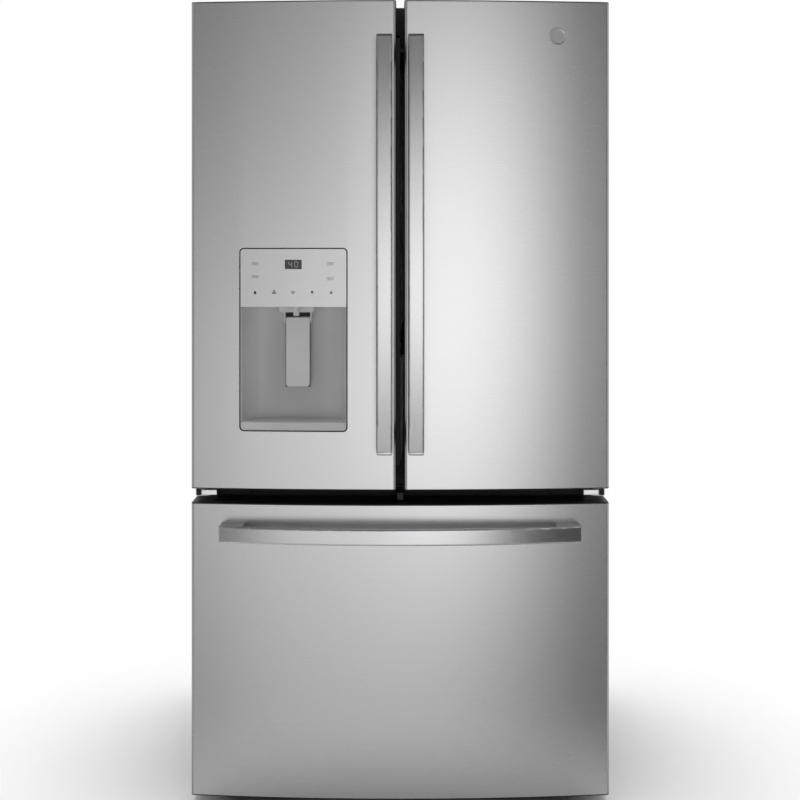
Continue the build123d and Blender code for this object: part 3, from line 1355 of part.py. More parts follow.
def mullion_bar():
    """The folding bar on the left door that backs the gap between the doors."""
    x = (-MULLION_PIVOT_X - MULLION_TAIL, 0.0)
    y = (CASE_FRONT + SEAL_CLEAR, CASE_FRONT + SEAL_CLEAR + MULLION_THICK)
    z = mullion_height()
    bar = block(x, y, z)
    rear_edges = bar.edges().group_by(Axis.Y)[-1].filter_by(Axis.Z)
    bar = chamfer(rear_edges, length=MULLION_PIN)
    for level in lug_levels():
        notch_z = grown((level - LUG_HEIGHT / 2, level + LUG_HEIGHT / 2), LUG_CLEAR)
        notch = block((x[0] - OVER, -MULLION_PIVOT_X + LUG_REACH), grown(y, OVER), notch_z)
        bar = bar - notch + rod_z(MULLION_PIN, -MULLION_PIVOT_X, MULLION_Y, notch_z)
    return bar


def door_form(x, z):
    """A front's outer form with a seam all round, which trims the handle posts."""
    return prism_z(front_plan(x, -FIT, DOOR_BACK), z)


def door_handle(side):
    """An upright strap handle on two posts; side is -1 left, 1 right."""
    top = DOOR_TOP - HANDLE_DROP
    foot = top - HANDLE_LENGTH
    middle = (top + foot) / 2
    face = bow_y(HANDLE_CENTRE)
    end_y = face - HANDLE_END_REACH
    mid_y = face - HANDLE_MIDDLE_REACH
    outer = ThreePointArc((end_y, foot), (mid_y, middle), (end_y, top))
    back_end = end_y + HANDLE_THICK
    inner = ThreePointArc((back_end, top), (mid_y + HANDLE_THICK, middle), (back_end, foot))
    ends = [Line((end_y, top), (back_end, top)), Line((back_end, foot), (end_y, foot))]
    strap_face = make_face([outer, ends[0], inner, ends[1]])
    x = (HANDLE_CENTRE - HANDLE_WIDTH / 2, HANDLE_CENTRE + HANDLE_WIDTH / 2)
    strap = prism_x(strap_face, x)
    strap = fillet(strap.edges().group_by(Axis.Y)[0], radius=HANDLE_EDGE)
    posts = []
    post_x = (HANDLE_CENTRE - POST_WIDTH / 2, HANDLE_CENTRE + POST_WIDTH / 2)
    for low in (foot + POST_FROM_END, top - POST_FROM_END - POST_LENGTH):
        section = rectangle(post_x, (low, low + POST_LENGTH), POST_FROM_END)
        posts.append(prism_y(section, (back_end - HANDLE_THICK / 2, face + OVER)))
    body = fused([strap] + posts) - door_form(RIGHT, DOOR_Z)
    if side < 0:
        return mirror(body, about=Plane.YZ)
    return body


def drawer_handle():
    """The long bowed strap across the freezer drawer, on two end posts."""
    half = DRAWER_HANDLE_HALF
    end_y = bow_y(half) - DRAWER_HANDLE_END
    mid_y = DOOR_FRONT - DRAWER_HANDLE_REACH
    back_end = end_y + HANDLE_THICK
    outer = ThreePointArc((-half, end_y), (0.0, mid_y), (half, end_y))
    inner = ThreePointArc((half, back_end), (0.0, mid_y + HANDLE_THICK), (-half, back_end))
    ends = [Line((half, end_y), (half, back_end)), Line((-half, back_end), (-half, end_y))]
    top = DRAWER_TOP - DRAWER_HANDLE_DROP
    z = (top - HANDLE_WIDTH, top)
    strap = prism_z(make_face([outer, ends[0], inner, ends[1]]), z)
    long_edges = strap.edges().sort_by(Axis.Y)
    front_edges = [edge for edge in long_edges if edge.length > half and edge.center().Y < mid_y + OVER]
    strap = fillet(front_edges, radius=HANDLE_EDGE)
    post_y = (end_y + HANDLE_THICK / 2, DOOR_FRONT + DOOR_BOW)
    post = block((half - DRAWER_POST, half), post_y, grown(z, -SKIN))
    return fused([strap, pair(post)]) - door_form(WHOLE, DRAWER_Z)


def freezer_skin():
    """Sheet of the freezer drawer's front."""
    return front_skin(WHOLE, DRAWER_Z)


def freezer_front_liner():
    """Foamed inner of the freezer drawer's front, with a raised panel."""
    half = slide_web() - SLIDE_LEDGE - FIT
    z = (FREEZER_FLOOR + DIKE_CLEAR, FREEZER_CEILING - DIKE_CLEAR)
    panel = block((-half, half), (DOOR_BACK, DOOR_BACK + DRAWER_PANEL), z)
    panel = chamfer(panel.edges().group_by(Axis.Y)[-1], length=DIKE_CLEAR)
    return front_core(WHOLE, DRAWER_Z) + panel


def freezer_gasket():
    """The seal of the freezer drawer."""
    x = grown(WHOLE, -GASKET_SIDE)
    z = (CASE_BOTTOM + GASKET_WIDTH, DRAWER_TOP - GASKET_INNER)
    return gasket(x, z)


def drawer_runners():
    """Channels on the freezer's side walls."""
    x = (ROOM_HALF - RUNNER_WIDTH, ROOM_HALF)
    y = (CASE_FRONT + RUNNER_SETBACK, CASE_FRONT + RUNNER_SETBACK + RUNNER_LENGTH)
    z = (RUNNER_LOW, RUNNER_HIGH)
    hollow_x = (x[0] - OVER, x[1] - RUNNER_SHEET)
    hollow = block(hollow_x, grown(y, OVER), grown(z, -RUNNER_SHEET))
    return pair(block(x, y, z) - hollow)


def slide_web():
    """Inner face of the slides' upright web."""
    return ROOM_HALF - RUNNER_WIDTH - SLIDE_CLEAR - SLIDE_WEB


def drawer_slides():
    """Moving members in the runners, with ledges for the bin and basket."""
    y = (DOOR_BACK, DOOR_BACK + SLIDE_LENGTH)
    inset = RUNNER_SHEET + SLIDE_CLEAR
    x = (ROOM_HALF - RUNNER_WIDTH + SLIDE_CLEAR, ROOM_HALF - inset)
    z = grown((RUNNER_LOW, RUNNER_HIGH), -inset)
    middle = (RUNNER_LOW + RUNNER_HIGH) / 2
    neck_z = (middle - SLIDE_NECK / 2, middle + SLIDE_NECK / 2)
    web = slide_web()
    bar = block(x, y, z)
    neck = block((web, x[1]), y, neck_z)
    wall = block((web, web + SLIDE_WEB), y, (neck_z[0], SLIDE_TOP))
    ledge_x = (web - SLIDE_LEDGE, web + SLIDE_WEB)
    low = block(ledge_x, y, (neck_z[0], neck_z[0] + SLIDE_LEDGE_THICK))
    high = block(ledge_x, y, (SLIDE_TOP - SLIDE_LEDGE_THICK, SLIDE_TOP))
    return pair(fused([bar, neck, wall, low, high]))


def bin_rim_z():
    """Top of the lower ledges, on which the freezer bin hangs."""
    return (RUNNER_LOW + RUNNER_HIGH - SLIDE_NECK) / 2 + SLIDE_LEDGE_THICK


def freezer_bin():
    """The deep lower bin, hung by its rim from the slides."""
    half = slide_web() - SLIDE_LEDGE - FIT
    y = (DOOR_BACK + DRAWER_PANEL + FIT, FREEZER_BIN_BACK)
    top = bin_rim_z() + FREEZER_WALL
    z = (FREEZER_FLOOR + FREEZER_BIN_LOW, top)
    box = open_box((-half, half), y, z, FREEZER_WALL, FREEZER_CORNER)
    rim_x = slide_web() - FIT
    rim_y = grown(y, -FREEZER_CORNER)
    rim = block((half - FREEZER_WALL, rim_x), rim_y, (bin_rim_z(), top))
    return box + pair(rim)


def freezer_basket():
    """The shallow upper basket, slotted, which slides on the upper ledges."""
    half = slide_web() - SLIDE_LEDGE - CRISPER_SIDE
    y = (DOOR_BACK + BASKET_SETBACK, DOOR_BACK + BASKET_SETBACK + BASKET_DEPTH)
    box = open_box((-half, half), y, (BASKET_LOW, BASKET_HIGH), FREEZER_WALL, FREEZER_CORNER)
    pitch = 2 * half / (BASKET_SLOTS + 1)
    slot_z = (BASKET_LOW + 2 * FREEZER_CORNER, BASKET_HIGH - FREEZER_CORNER)
    for index in range(BASKET_SLOTS):
        x = -half + pitch * (index + 1)
        slot = rectangle((x - BASKET_SLOT / 2, x + BASKET_SLOT / 2), slot_z, BASKET_SLOT / 3)
        box = box - prism_y(slot, grown(y, OVER))
    rim_z = (SLIDE_TOP + FIT, SLIDE_TOP + FIT + FREEZER_WALL)
    rim = block((half - FREEZER_WALL, slide_web() - FIT), grown(y, -FREEZER_CORNER), rim_z)
    return box + pair(rim)


PARTS = {
    "outer_wrapper": outer_wrapper,
    "rear_panel": rear_panel,
    "insulation": insulation,
    "fresh_food_liner": fresh_food_liner,
    "freezer_liner": freezer_liner,
    "middle_rail": middle_rail,
    "base_frame": base_frame,
    "leveling_feet": leveling_feet,
    "rear_rollers": rear_rollers,
    "compressor": compressor,
    "condenser": condenser,
    "condenser_fan_motor": condenser_fan_motor,
    "condenser_fan": condenser_fan,
    "drain_pan": drain_pan,
    "rear_cover": rear_cover,
    "water_valve": water_valve,
    "evaporator": evaporator,
    "evaporator_cover": evaporator_cover,
    "evaporator_fan": evaporator_fan,
    "air_duct": air_duct,
    "shelf_tracks": shelf_tracks,
    "shelf_glass": shelf_glass,
    "shelf_frames": shelf_frames,
    "crisper_cover": crisper_cover,
    "left_crisper": lambda: crisper(-1),
    "right_crisper": lambda: crisper(1),
    "lamp_lens": lamp_lens,
    "top_hinges": top_hinges,
    "hinge_covers": hinge_covers,
    "center_hinges": center_hinges,
    "drawer_runners": drawer_runners,
    "left_door_skin": left_door_skin,
    "left_door_caps": lambda: door_caps(LEFT, -1),
    "left_door_liner": left_door_liner,
    "left_door_gasket": lambda: door_gasket(LEFT, -1),
    "left_door_handle": lambda: door_handle(-1),
    "left_door_bins": left_door_bins,
    "ice_box": ice_box,
    "mullion_bar": mullion_bar,
    "dispenser_housing": dispenser_housing,
    "control_panel": control_panel,
    "display_window": display_window,
    "ice_chute": ice_chute,
    "chute_flap": chute_flap,
    "dispenser_paddle": dispenser_paddle,
    "drip_tray": drip_tray,
    "right_door_skin": lambda: front_skin(RIGHT, DOOR_Z),
    "right_door_caps": lambda: door_caps(RIGHT, 1),
    "right_door_liner": right_door_liner,
    "right_door_gasket": lambda: door_gasket(RIGHT, 1),
    "right_door_handle": lambda: door_handle(1),
    "right_door_bins": right_door_bins,
    "freezer_skin": freezer_skin,
    "freezer_caps": lambda: together(front_caps(WHOLE, DRAWER_Z)),
    "freezer_front_liner": freezer_front_liner,
    "freezer_gasket": freezer_gasket,
    "drawer_handle": drawer_handle,
    "drawer_slides": drawer_slides,
    "freezer_bin": freezer_bin,
    "freezer_basket": freezer_basket,
}


def main():
    """Builds every piece and writes one file for each."""
    os.makedirs("parts", exist_ok=True)
    for name, build in PARTS.items():
        export_step(build(), f"parts/{name}.step")


if __name__ == "__main__":
    main()
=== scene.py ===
# %% [markdown]
# # A french door refrigerator in brushed steel
# The refrigerator arrives as sixty CAD nodes, already in place and already hung on their moving bodies.
# In this lesson we give every node a procedural finish, add the small fittings that are easier to shape
# here than in CAD, and set up a plain studio that shows the brushed steel fronts.

# %% Load the frame
import json
import math
import bmesh
import bpy
from mathutils import Matrix, Vector


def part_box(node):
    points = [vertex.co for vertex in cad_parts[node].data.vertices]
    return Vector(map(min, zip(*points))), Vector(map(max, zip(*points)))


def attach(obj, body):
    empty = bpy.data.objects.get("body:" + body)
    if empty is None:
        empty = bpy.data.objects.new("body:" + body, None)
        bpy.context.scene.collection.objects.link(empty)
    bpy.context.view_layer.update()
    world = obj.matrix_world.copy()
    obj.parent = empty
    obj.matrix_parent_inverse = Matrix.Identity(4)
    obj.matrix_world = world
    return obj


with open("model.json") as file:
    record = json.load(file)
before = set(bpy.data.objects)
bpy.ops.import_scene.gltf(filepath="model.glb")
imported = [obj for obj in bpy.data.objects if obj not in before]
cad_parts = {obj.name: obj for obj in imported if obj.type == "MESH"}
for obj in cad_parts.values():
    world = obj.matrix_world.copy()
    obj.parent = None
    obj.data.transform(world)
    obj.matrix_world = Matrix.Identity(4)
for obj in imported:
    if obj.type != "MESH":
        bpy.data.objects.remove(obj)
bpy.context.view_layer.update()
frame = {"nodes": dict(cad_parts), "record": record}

# %% [markdown]
# ## Shared surface effects
# Brushed steel is steel that has been dragged under an abrasive belt, so it carries thousands of short
# parallel scratches. One node group makes those scratches from noise that is stretched along the brushing
# direction: the material that uses it decides the direction with a Mapping node. A second group makes the
# orange-peel skin of paint and moulded plastic. A third one finds the edges: plastics and most metals turn
# them lighter where hands and cloths rub, and the steel fronts and handles turn them darker as painted
# shade. Image textures could do the same, but noise has no seams and needs no unwrapping.

# %% Helpers that build node trees
def new_group(name, inputs, outputs):
    group = bpy.data.node_groups.new(name, "ShaderNodeTree")
    for label, kind, value in inputs:
        socket = group.interface.new_socket(label, in_out="INPUT", socket_type=kind)
        if value is not None:
            socket.default_value = value
    for label, kind in outputs:
        group.interface.new_socket(label, in_out="OUTPUT", socket_type=kind)
    return group, group.nodes.new("NodeGroupInput"), group.nodes.new("NodeGroupOutput")


def set_or_link(tree, socket, value):
    """Writes a number on a socket, or links another node's output to it."""
    if isinstance(value, (int, float)):
        socket.default_value = value
    else:
        tree.links.new(value, socket)


def math_node(tree, operation, first, second):
    node = tree.nodes.new("ShaderNodeMath")
    node.operation = operation
    set_or_link(tree, node.inputs[0], first)
    set_or_link(tree, node.inputs[1], second)
    return node.outputs[0]


def noise_node(tree, vector, scale, detail, roughness=0.5):
    node = tree.nodes.new("ShaderNodeTexNoise")
    tree.links.new(vector, node.inputs["Vector"])
    node.inputs["Detail"].default_value = detail
    node.inputs["Roughness"].default_value = roughness
    set_or_link(tree, node.inputs["Scale"], scale)
    return node.outputs["Fac"]


def range_node(tree, value, low, high, new_low, new_high):
    node = tree.nodes.new("ShaderNodeMapRange")
    tree.links.new(value, node.inputs["Value"])
    for label, number in zip(("From Min", "From Max", "To Min", "To Max"), (low, high, new_low, new_high)):
        node.inputs[label].default_value = number
    return node.outputs["Result"]


NOISE_SPAN = (0.3, 0.7)
print("noise is spread from", NOISE_SPAN, "to the full range from 0 to 1")

# %% Brushed scratches
grain_group, grain_in, grain_out = new_group(
    "brushed_grain",
    [("Vector", "NodeSocketVector", None)],
    [("Streak", "NodeSocketFloat"), ("Height", "NodeSocketFloat")],
)
FINE_SHARE = 0.65
fine = noise_node(grain_group, grain_in.outputs["Vector"], scale=1.0, detail=3.0, roughness=0.6)
coarse = noise_node(grain_group, grain_in.outputs["Vector"], scale=0.23, detail=2.0)
fine_part = math_node(grain_group, "MULTIPLY", fine, FINE_SHARE)
coarse_part = math_node(grain_group, "MULTIPLY", coarse, 1.0 - FINE_SHARE)
streak = math_node(grain_group, "ADD", fine_part, coarse_part)
grain_group.links.new(range_node(grain_group, streak, *NOISE_SPAN, 0.0, 1.0), grain_out.inputs["Streak"])
grain_group.links.new(fine, grain_out.inputs["Height"])
print("brushed_grain:", len(grain_group.nodes), "nodes")

# %% Orange peel and cloudiness
skin_group, skin_in, skin_out = new_group(
    "moulded_skin",
    [("Vector", "NodeSocketVector", None), ("Scale", "NodeSocketFloat", 900.0)],
    [("Height", "NodeSocketFloat"), ("Cloud", "NodeSocketFloat")],
)
peel = noise_node(skin_group, skin_in.outputs["Vector"], skin_in.outputs["Scale"], detail=2.0)
cloud = noise_node(skin_group, skin_in.outputs["Vector"], scale=4.0, detail=3.0, roughness=0.6)
skin_group.links.new(peel, skin_out.inputs["Height"])
skin_group.links.new(range_node(skin_group, cloud, *NOISE_SPAN, 0.0, 1.0), skin_out.inputs["Cloud"])
print("moulded_skin:", len(skin_group.nodes), "nodes")

# %% Worn and shaded edges
edge_group, edge_in, edge_out = new_group(
    "worn_and_shaded_edges",
    [("Vector", "NodeSocketVector", None), ("Radius", "NodeSocketFloat", 0.0012)],
    [("Mask", "NodeSocketFloat"), ("Normal", "NodeSocketVector")],
)
FLAT_AND_TURNED = (0.99, 0.8)
round_edge = edge_group.nodes.new("ShaderNodeBevel")
round_edge.samples = 4
edge_group.links.new(edge_in.outputs["Radius"], round_edge.inputs["Radius"])
true_normal = edge_group.nodes.new("ShaderNodeNewGeometry")
facing = edge_group.nodes.new("ShaderNodeVectorMath")
facing.operation = "DOT_PRODUCT"
edge_group.links.new(round_edge.outputs["Normal"], facing.inputs[0])
edge_group.links.new(true_normal.outputs["Normal"], facing.inputs[1])
patchy = noise_node(edge_group, edge_in.outputs["Vector"], scale=60.0, detail=2.0)
turned = range_node(edge_group, facing.outputs["Value"], *FLAT_AND_TURNED, 0.0, 1.0)
edge_group.links.new(math_node(edge_group, "MULTIPLY", turned, patchy), edge_out.inputs["Mask"])
edge_group.links.new(round_edge.outputs["Normal"], edge_out.inputs["Normal"])
print("worn_and_shaded_edges:", len(edge_group.nodes), "nodes")

# %% [markdown]
# ## Kinds of material
# Every finish below is one Principled shader. The helpers put Object coordinates through a Mapping node,
# feed one of the shared groups, and join its masks to Base Color, Roughness and Normal. Object coordinates
# are in metres here, so a noise scale of 900 gives grains of about a millimetre. Three kinds are enough for
# this object: metal, moulded plastic or paint, and clear plastic or glass.

# %% What all materials share
def new_material(name):
    material = bpy.data.materials.new(name)
    material.use_nodes = True
    tree = material.node_tree
    shader = tree.nodes["Principled BSDF"]
    place = tree.nodes.new("ShaderNodeTexCoord").outputs["Object"]
    return material, tree, shader, place


def use_group(tree, group, vector):
    node = tree.nodes.new("ShaderNodeGroup")
    node.node_tree = group
    tree.links.new(vector, node.inputs["Vector"])
    return node


def stretched(tree, vector, scale):
    node = tree.nodes.new("ShaderNodeMapping")
    node.inputs["Scale"].default_value = scale
    tree.links.new(vector, node.inputs["Vector"])
    return node.outputs["Vector"]


def mixed_colour(tree, mask, first, second):
    node = tree.nodes.new("ShaderNodeMix")
    node.data_type = "RGBA"
    tree.links.new(mask, node.inputs["Factor"])
    for socket, value in ((node.inputs[6], first), (node.inputs[7], second)):
        if isinstance(value, bpy.types.NodeSocket):
            tree.links.new(value, socket)
        else:
            socket.default_value = (*value, 1.0)
    return node.outputs[2]


def bump(tree, shader, height, strength, distance, normal=None):
    node = tree.nodes.new("ShaderNodeBump")
    node.inputs["Strength"].default_value = strength
    node.inputs["Distance"].default_value = distance
    tree.links.new(height, node.inputs["Height"])
    if normal:
        tree.links.new(normal, node.inputs["Normal"])
    tree.links.new(node.outputs["Normal"], shader.inputs["Normal"])


PEEL_DEPTH = 0.0002
print("orange peel is", PEEL_DEPTH * 1000, "mm deep at full strength")

# %% Brushed or rolled metal
def side_shade_mask(tree):
    """A mask of the faces that look to the left or right, which the steel darkens as painted shade."""
    normal = tree.nodes.new("ShaderNodeSeparateXYZ")
    tree.links.new(tree.nodes.new("ShaderNodeTexCoord").outputs["Normal"], normal.inputs[0])
    turned = math_node(tree, "ABSOLUTE", normal.outputs["X"], 0.0)
    return range_node(tree, turned, *SIDE_SHADE_SPAN, 0.0, 1.0)


def metal(name, dark, light, rough, stretch, depth=0.00003, strength=0.25, edge_tone=1.15, radius=0.0012,
          sides=None):
    """Edges take the light tone times a factor, lighter as wear above 1 and darker as painted shade below 1.
    Sides are darkened as painted shade.
    """
    material, tree, shader, place = new_material(name)
    grain = use_group(tree, grain_group, stretched(tree, place, stretch))
    edges = use_group(tree, edge_group, place)
    edges.inputs["Radius"].default_value = radius
    shader.inputs["Metallic"].default_value = 1.0
    brushed = mixed_colour(tree, grain.outputs["Streak"], dark, light)
    # Edges take the light tone times a factor: above 1 they are lighter as wear, below 1 they are darker as
    # painted shade.
    edge = tuple(min(1.0, edge_tone * c) for c in light)
    tone = mixed_colour(tree, edges.outputs["Mask"], brushed, edge)
    # Faces that look sideways are darkened: painted shade.
    if sides:
        tone = mixed_colour(tree, side_shade_mask(tree), tone, tuple(sides * c for c in light))
    tree.links.new(tone, shader.inputs["Base Color"])
    tree.links.new(range_node(tree, grain.outputs["Streak"], 0.0, 1.0, *rough), shader.inputs["Roughness"])
    bump(tree, shader, grain.outputs["Height"], strength, depth, edges.outputs["Normal"])
    return material


SIDE_SHADE_SPAN = (0.2, 0.6)
ALONG_X = (1.6, 900.0, 1500.0)
ALONG_Y = (260.0, 12.0, 260.0)
ALONG_Z = (1500.0, 900.0, 1.6)
ROLLED = (40.0, 260.0, 260.0)
EVEN = (600.0, 600.0, 600.0)
print("brushing along X stretches the noise", round(ALONG_X[2] / ALONG_X[0]), "times")

# %% Moulded plastic and paint
def moulded(name, colour, rough, scale=900.0, strength=0.12, shade=0.9, coat=0.0):
    material, tree, shader, place = new_material(name)
    skin = use_group(tree, skin_group, place)
    skin.inputs["Scale"].default_value = scale
    edges = use_group(tree, edge_group, place)
    body = mixed_colour(tree, skin.outputs["Cloud"], tuple(shade * c for c in colour), colour)
    edge_tone = tuple(min(1.0, RUB_GAIN * c + RUB_LIFT) for c in colour)
    tree.links.new(mixed_colour(tree, edges.outputs["Mask"], body, edge_tone), shader.inputs["Base Color"])
    tree.links.new(range_node(tree, skin.outputs["Cloud"], 0.0, 1.0, *rough), shader.inputs["Roughness"])
    shader.inputs["Coat Weight"].default_value = coat
    bump(tree, shader, skin.outputs["Height"], strength, PEEL_DEPTH, edges.outputs["Normal"])
    return material


RUB_GAIN = 1.12
RUB_LIFT = 0.01
PAINT_PEEL = 700.0
FINE_PEEL = 1300.0
print("sheet paint has", round(1000 / PAINT_PEEL, 2), "mm grains, fine plastic", round(1000 / FINE_PEEL, 2))

# %% Clear plastic and glass
def clear(name, colour, rough, alpha):
    material, tree, shader, place = new_material(name)
    skin = use_group(tree, skin_group, place)
    skin.inputs["Scale"].default_value = CLEAR_PEEL
    light_tone = tuple(min(1.0, CLEAR_GAIN * c) for c in colour)
    tone = mixed_colour(tree, skin.outputs["Cloud"], colour, light_tone)
    tree.links.new(tone, shader.inputs["Base Color"])
    tree.links.new(range_node(tree, skin.outputs["Cloud"], 0.0, 1.0, *rough), shader.inputs["Roughness"])
    shader.inputs["Alpha"].default_value = alpha
    shader.inputs["IOR"].default_value = GLASS_IOR
    bump(tree, shader, skin.outputs["Height"], CLEAR_WAVE, PEEL_DEPTH)
    return material


CLEAR_GAIN = 1.05
CLEAR_PEEL = 300.0
CLEAR_WAVE = 0.05
GLASS_IOR = 1.5
print("clear plastic has", round(1000 / CLEAR_PEEL, 2), "mm waves")

# %% [markdown]
# ## The finishes of the refrigerator
# Each CAD node names a material slot, and each slot gets one finish here. The fronts are brushed sideways
# and the door handles upright, as the real sheets and bars are. Their sides and edges are darkened as
# painted shade, which draws the thin dark lines that outline them. The case is dark painted sheet, made this
# dark partly as painted shade so that it reads black in the gaps between the doors. The inside is glossy
# white plastic, and the parts near the compressor are plain painted steel. A few nodes differ from the rest
# of their slot, so they get a finish of their own.

# %% Metals
finishes = {
    # The fronts and the door handles get darker edges and sides: painted shade for the dark room they
    # mirror.
    "stainless": metal("stainless", (0.612, 0.612, 0.617), (0.638, 0.638, 0.643), (0.27, 0.29), ALONG_X,
                       depth=0.00001, strength=0.035, edge_tone=0.5, sides=0.4),
    "handle_steel": metal("handle_steel", (0.5, 0.5, 0.51), (0.58, 0.58, 0.59), (0.2, 0.26), ALONG_Z,
                          depth=0.00002, strength=0.12, edge_tone=0.06, radius=0.005, sides=0.3),
    "panel_silver": metal("panel_silver", (0.7, 0.7, 0.705), (0.76, 0.76, 0.765), (0.32, 0.42), ALONG_X,
                          depth=0.00002, strength=0.15),
    "zinc": metal("zinc", (0.66, 0.66, 0.66), (0.8, 0.8, 0.8), (0.28, 0.42), ROLLED),
    "runner_steel": metal("runner_steel", (0.58, 0.59, 0.6), (0.7, 0.71, 0.72), (0.25, 0.4), ALONG_Y),
    "coil_metal": metal("coil_metal", (0.55, 0.56, 0.57), (0.72, 0.72, 0.72), (0.3, 0.45), ROLLED),
    "valve_brass": metal("valve_brass", (0.55, 0.4, 0.17), (0.72, 0.55, 0.28), (0.25, 0.4), ROLLED),
}
print(len(finishes), "metals")

# %% Paints and the outer plastics
finishes.update({
    # The case paint is a dark charcoal, made this dark partly as painted shade so that the case front reads
    # black in the shaded gap between the doors.
    "case_paint": moulded("case_paint", (0.085, 0.087, 0.09), (0.38, 0.5), 520.0, 0.3, 0.92, coat=0.1),
    "rear_sheet": moulded("rear_sheet", (0.19, 0.195, 0.2), (0.45, 0.6), PAINT_PEEL, 0.15),
    "base_steel": moulded("base_steel", (0.022, 0.022, 0.024), (0.4, 0.55), PAINT_PEEL, 0.15),
    "black_can": moulded("black_can", (0.012, 0.012, 0.013), (0.25, 0.38), PAINT_PEEL, 0.1, 0.85, coat=0.3),
    "cover_sheet": moulded("cover_sheet", (0.17, 0.175, 0.18), (0.45, 0.6), PAINT_PEEL, 0.15),
    "foam": moulded("foam", (0.72, 0.64, 0.4), (0.75, 0.9), 260.0, 0.5, shade=0.82),
    "dark_trim": moulded("dark_trim", (0.012, 0.012, 0.013), (0.5, 0.62), 1100.0),
    "foot_plastic": moulded("foot_plastic", (0.03, 0.03, 0.03), (0.5, 0.65)),
    "roller_plastic": moulded("roller_plastic", (0.06, 0.06, 0.062), (0.4, 0.55)),
    "black_plastic": moulded("black_plastic", (0.02, 0.02, 0.021), (0.42, 0.55)),
    "grey_plastic": moulded("grey_plastic", (0.42, 0.43, 0.44), (0.38, 0.5)),
    "gasket_rubber": moulded("gasket_rubber", (0.075, 0.076, 0.08), (0.5, 0.65), 1400.0, 0.1),
    "dispenser_grey": moulded("dispenser_grey", (0.79, 0.79, 0.795), (0.3, 0.42), FINE_PEEL, 0.1),
    "display_black": moulded("display_black", (0.02, 0.021, 0.023), (0.15, 0.25), 400.0, 0.01, 0.8,
                             coat=0.5),
})
print(len(finishes), "finishes with the paints and outer plastics")

# %% The inside
finishes.update({
    "white_liner": moulded("white_liner", (0.85, 0.86, 0.87), (0.28, 0.31), 1200.0, 0.05, 0.985, coat=0.1),
    "track_paint": moulded("track_paint", (0.8, 0.8, 0.8), (0.3, 0.42), 800.0, 0.1),
    "shelf_trim": moulded("shelf_trim", (0.82, 0.83, 0.84), (0.28, 0.34)),
    "shelf_glass": clear("shelf_glass", (0.75, 0.88, 0.83), (0.03, 0.08), 0.22),
    "clear_plastic": clear("clear_plastic", (0.86, 0.89, 0.9), (0.08, 0.2), 0.3),
    "lamp_lens": clear("lamp_lens", (0.9, 0.91, 0.92), (0.3, 0.45), 0.85),
})
print(len(finishes), "finishes with the inside")

# %% Give every node its finish
for part in frame["record"]["subparts"]:
    mesh = frame["nodes"][part["node"]].data
    mesh.materials.clear()
    mesh.materials.append(finishes[part["material_slot"]])
own_finishes = {
    # The drawer bar's edges are darkened as painted shade.
    "drawer_handle": metal("drawer_bar_steel", (0.6, 0.6, 0.61), (0.68, 0.68, 0.69), (0.2, 0.26), ALONG_X,
                           depth=0.00002, strength=0.12, edge_tone=0.4, radius=0.003),
    "dispenser_paddle": moulded("paddle_plastic", (0.96, 0.96, 0.96), (0.3, 0.42), FINE_PEEL, 0.08),
    "mullion_bar": moulded("mullion_plastic", (0.09, 0.09, 0.095), (0.42, 0.55)),
    "ice_chute": finishes["dispenser_grey"],
}
for node, finish in own_finishes.items():
    frame["nodes"][node].data.materials[0] = finish
print(len(finishes), "slots and", len(own_finishes), "own finishes on", len(frame["nodes"]), "nodes")

# %% [markdown]
# ## Small fittings
# Everything added from here on is built of bevelled blocks, spun profiles or one flat face, and is placed in
# its mesh so that the object itself stays at the origin. Each piece rides on the body it is fastened to, so
# it opens with its door. The fronts are bowed, so one helper finds the place and the tilt of a point on the
# bow.

# %% Make a piece of a bmesh
def piece(name, bm, finish, body):
    bmesh.ops.recalc_face_normals(bm, faces=bm.faces)
    mesh = bpy.data.meshes.new(name)
    bm.to_mesh(mesh)
    bm.free()
    obj = bpy.data.objects.new(name, mesh)
    bpy.context.scene.collection.objects.link(obj)
    mesh.materials.append(finish)
    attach(obj, body)
    print(name, "rides on", body, "with", len(mesh.polygons), "faces")


def at(x, y, z):
    return Matrix.Translation((x, y, z))


# %% Spun profiles and bevelled slabs
def smooth_faces(verts):
    for face in {f for v in verts for f in v.link_faces}:
        face.smooth = True


def turned_profile(bm, profile, place, steps):
    """Spins (radius, height) points about the local Z axis and puts the result at a place matrix."""
    older = set(bm.verts)
    points = [bm.verts.new((radius, 0.0, height)) for radius, height in profile]
    edges = [bm.edges.new(pair) for pair in zip(points, points[1:])]
    bmesh.ops.spin(bm, geom=points + edges, cent=(0, 0, 0), axis=(0, 0, 1), angle=2 * math.pi, steps=steps,
                   use_merge=True)
    made = [v for v in bm.verts if v not in older]
    bmesh.ops.remove_doubles(bm, verts=made, dist=1e-7)
    made = [v for v in bm.verts if v not in older]
    smooth_faces(made)
    bmesh.ops.transform(bm, matrix=place, verts=made)


def slab(bm, size, place, round_edge=0.0, segments=3):
    """A block of the given size with all its edges rounded, put at a place matrix."""
    older = set(bm.verts)
    made = bmesh.ops.create_cube(bm, size=1.0)["verts"]
    bmesh.ops.scale(bm, vec=size, verts=made)
    if round_edge:
        edges = list({e for v in made for e in v.link_edges})
        bmesh.ops.bevel(bm, geom=edges, offset=round_edge, offset_type="OFFSET", segments=segments,
                        profile=0.5, affect="EDGES", material=-1)
    made = [v for v in bm.verts if v not in older]
    bmesh.ops.transform(bm, matrix=place, verts=made)


TO_FRONT = Matrix.Rotation(math.radians(90), 4, "X")
TO_BACK = Matrix.Rotation(math.radians(-90), 4, "X")
print("local Z turned to the front:", [round(v) for v in TO_FRONT @ Vector((0, 0, 1))])

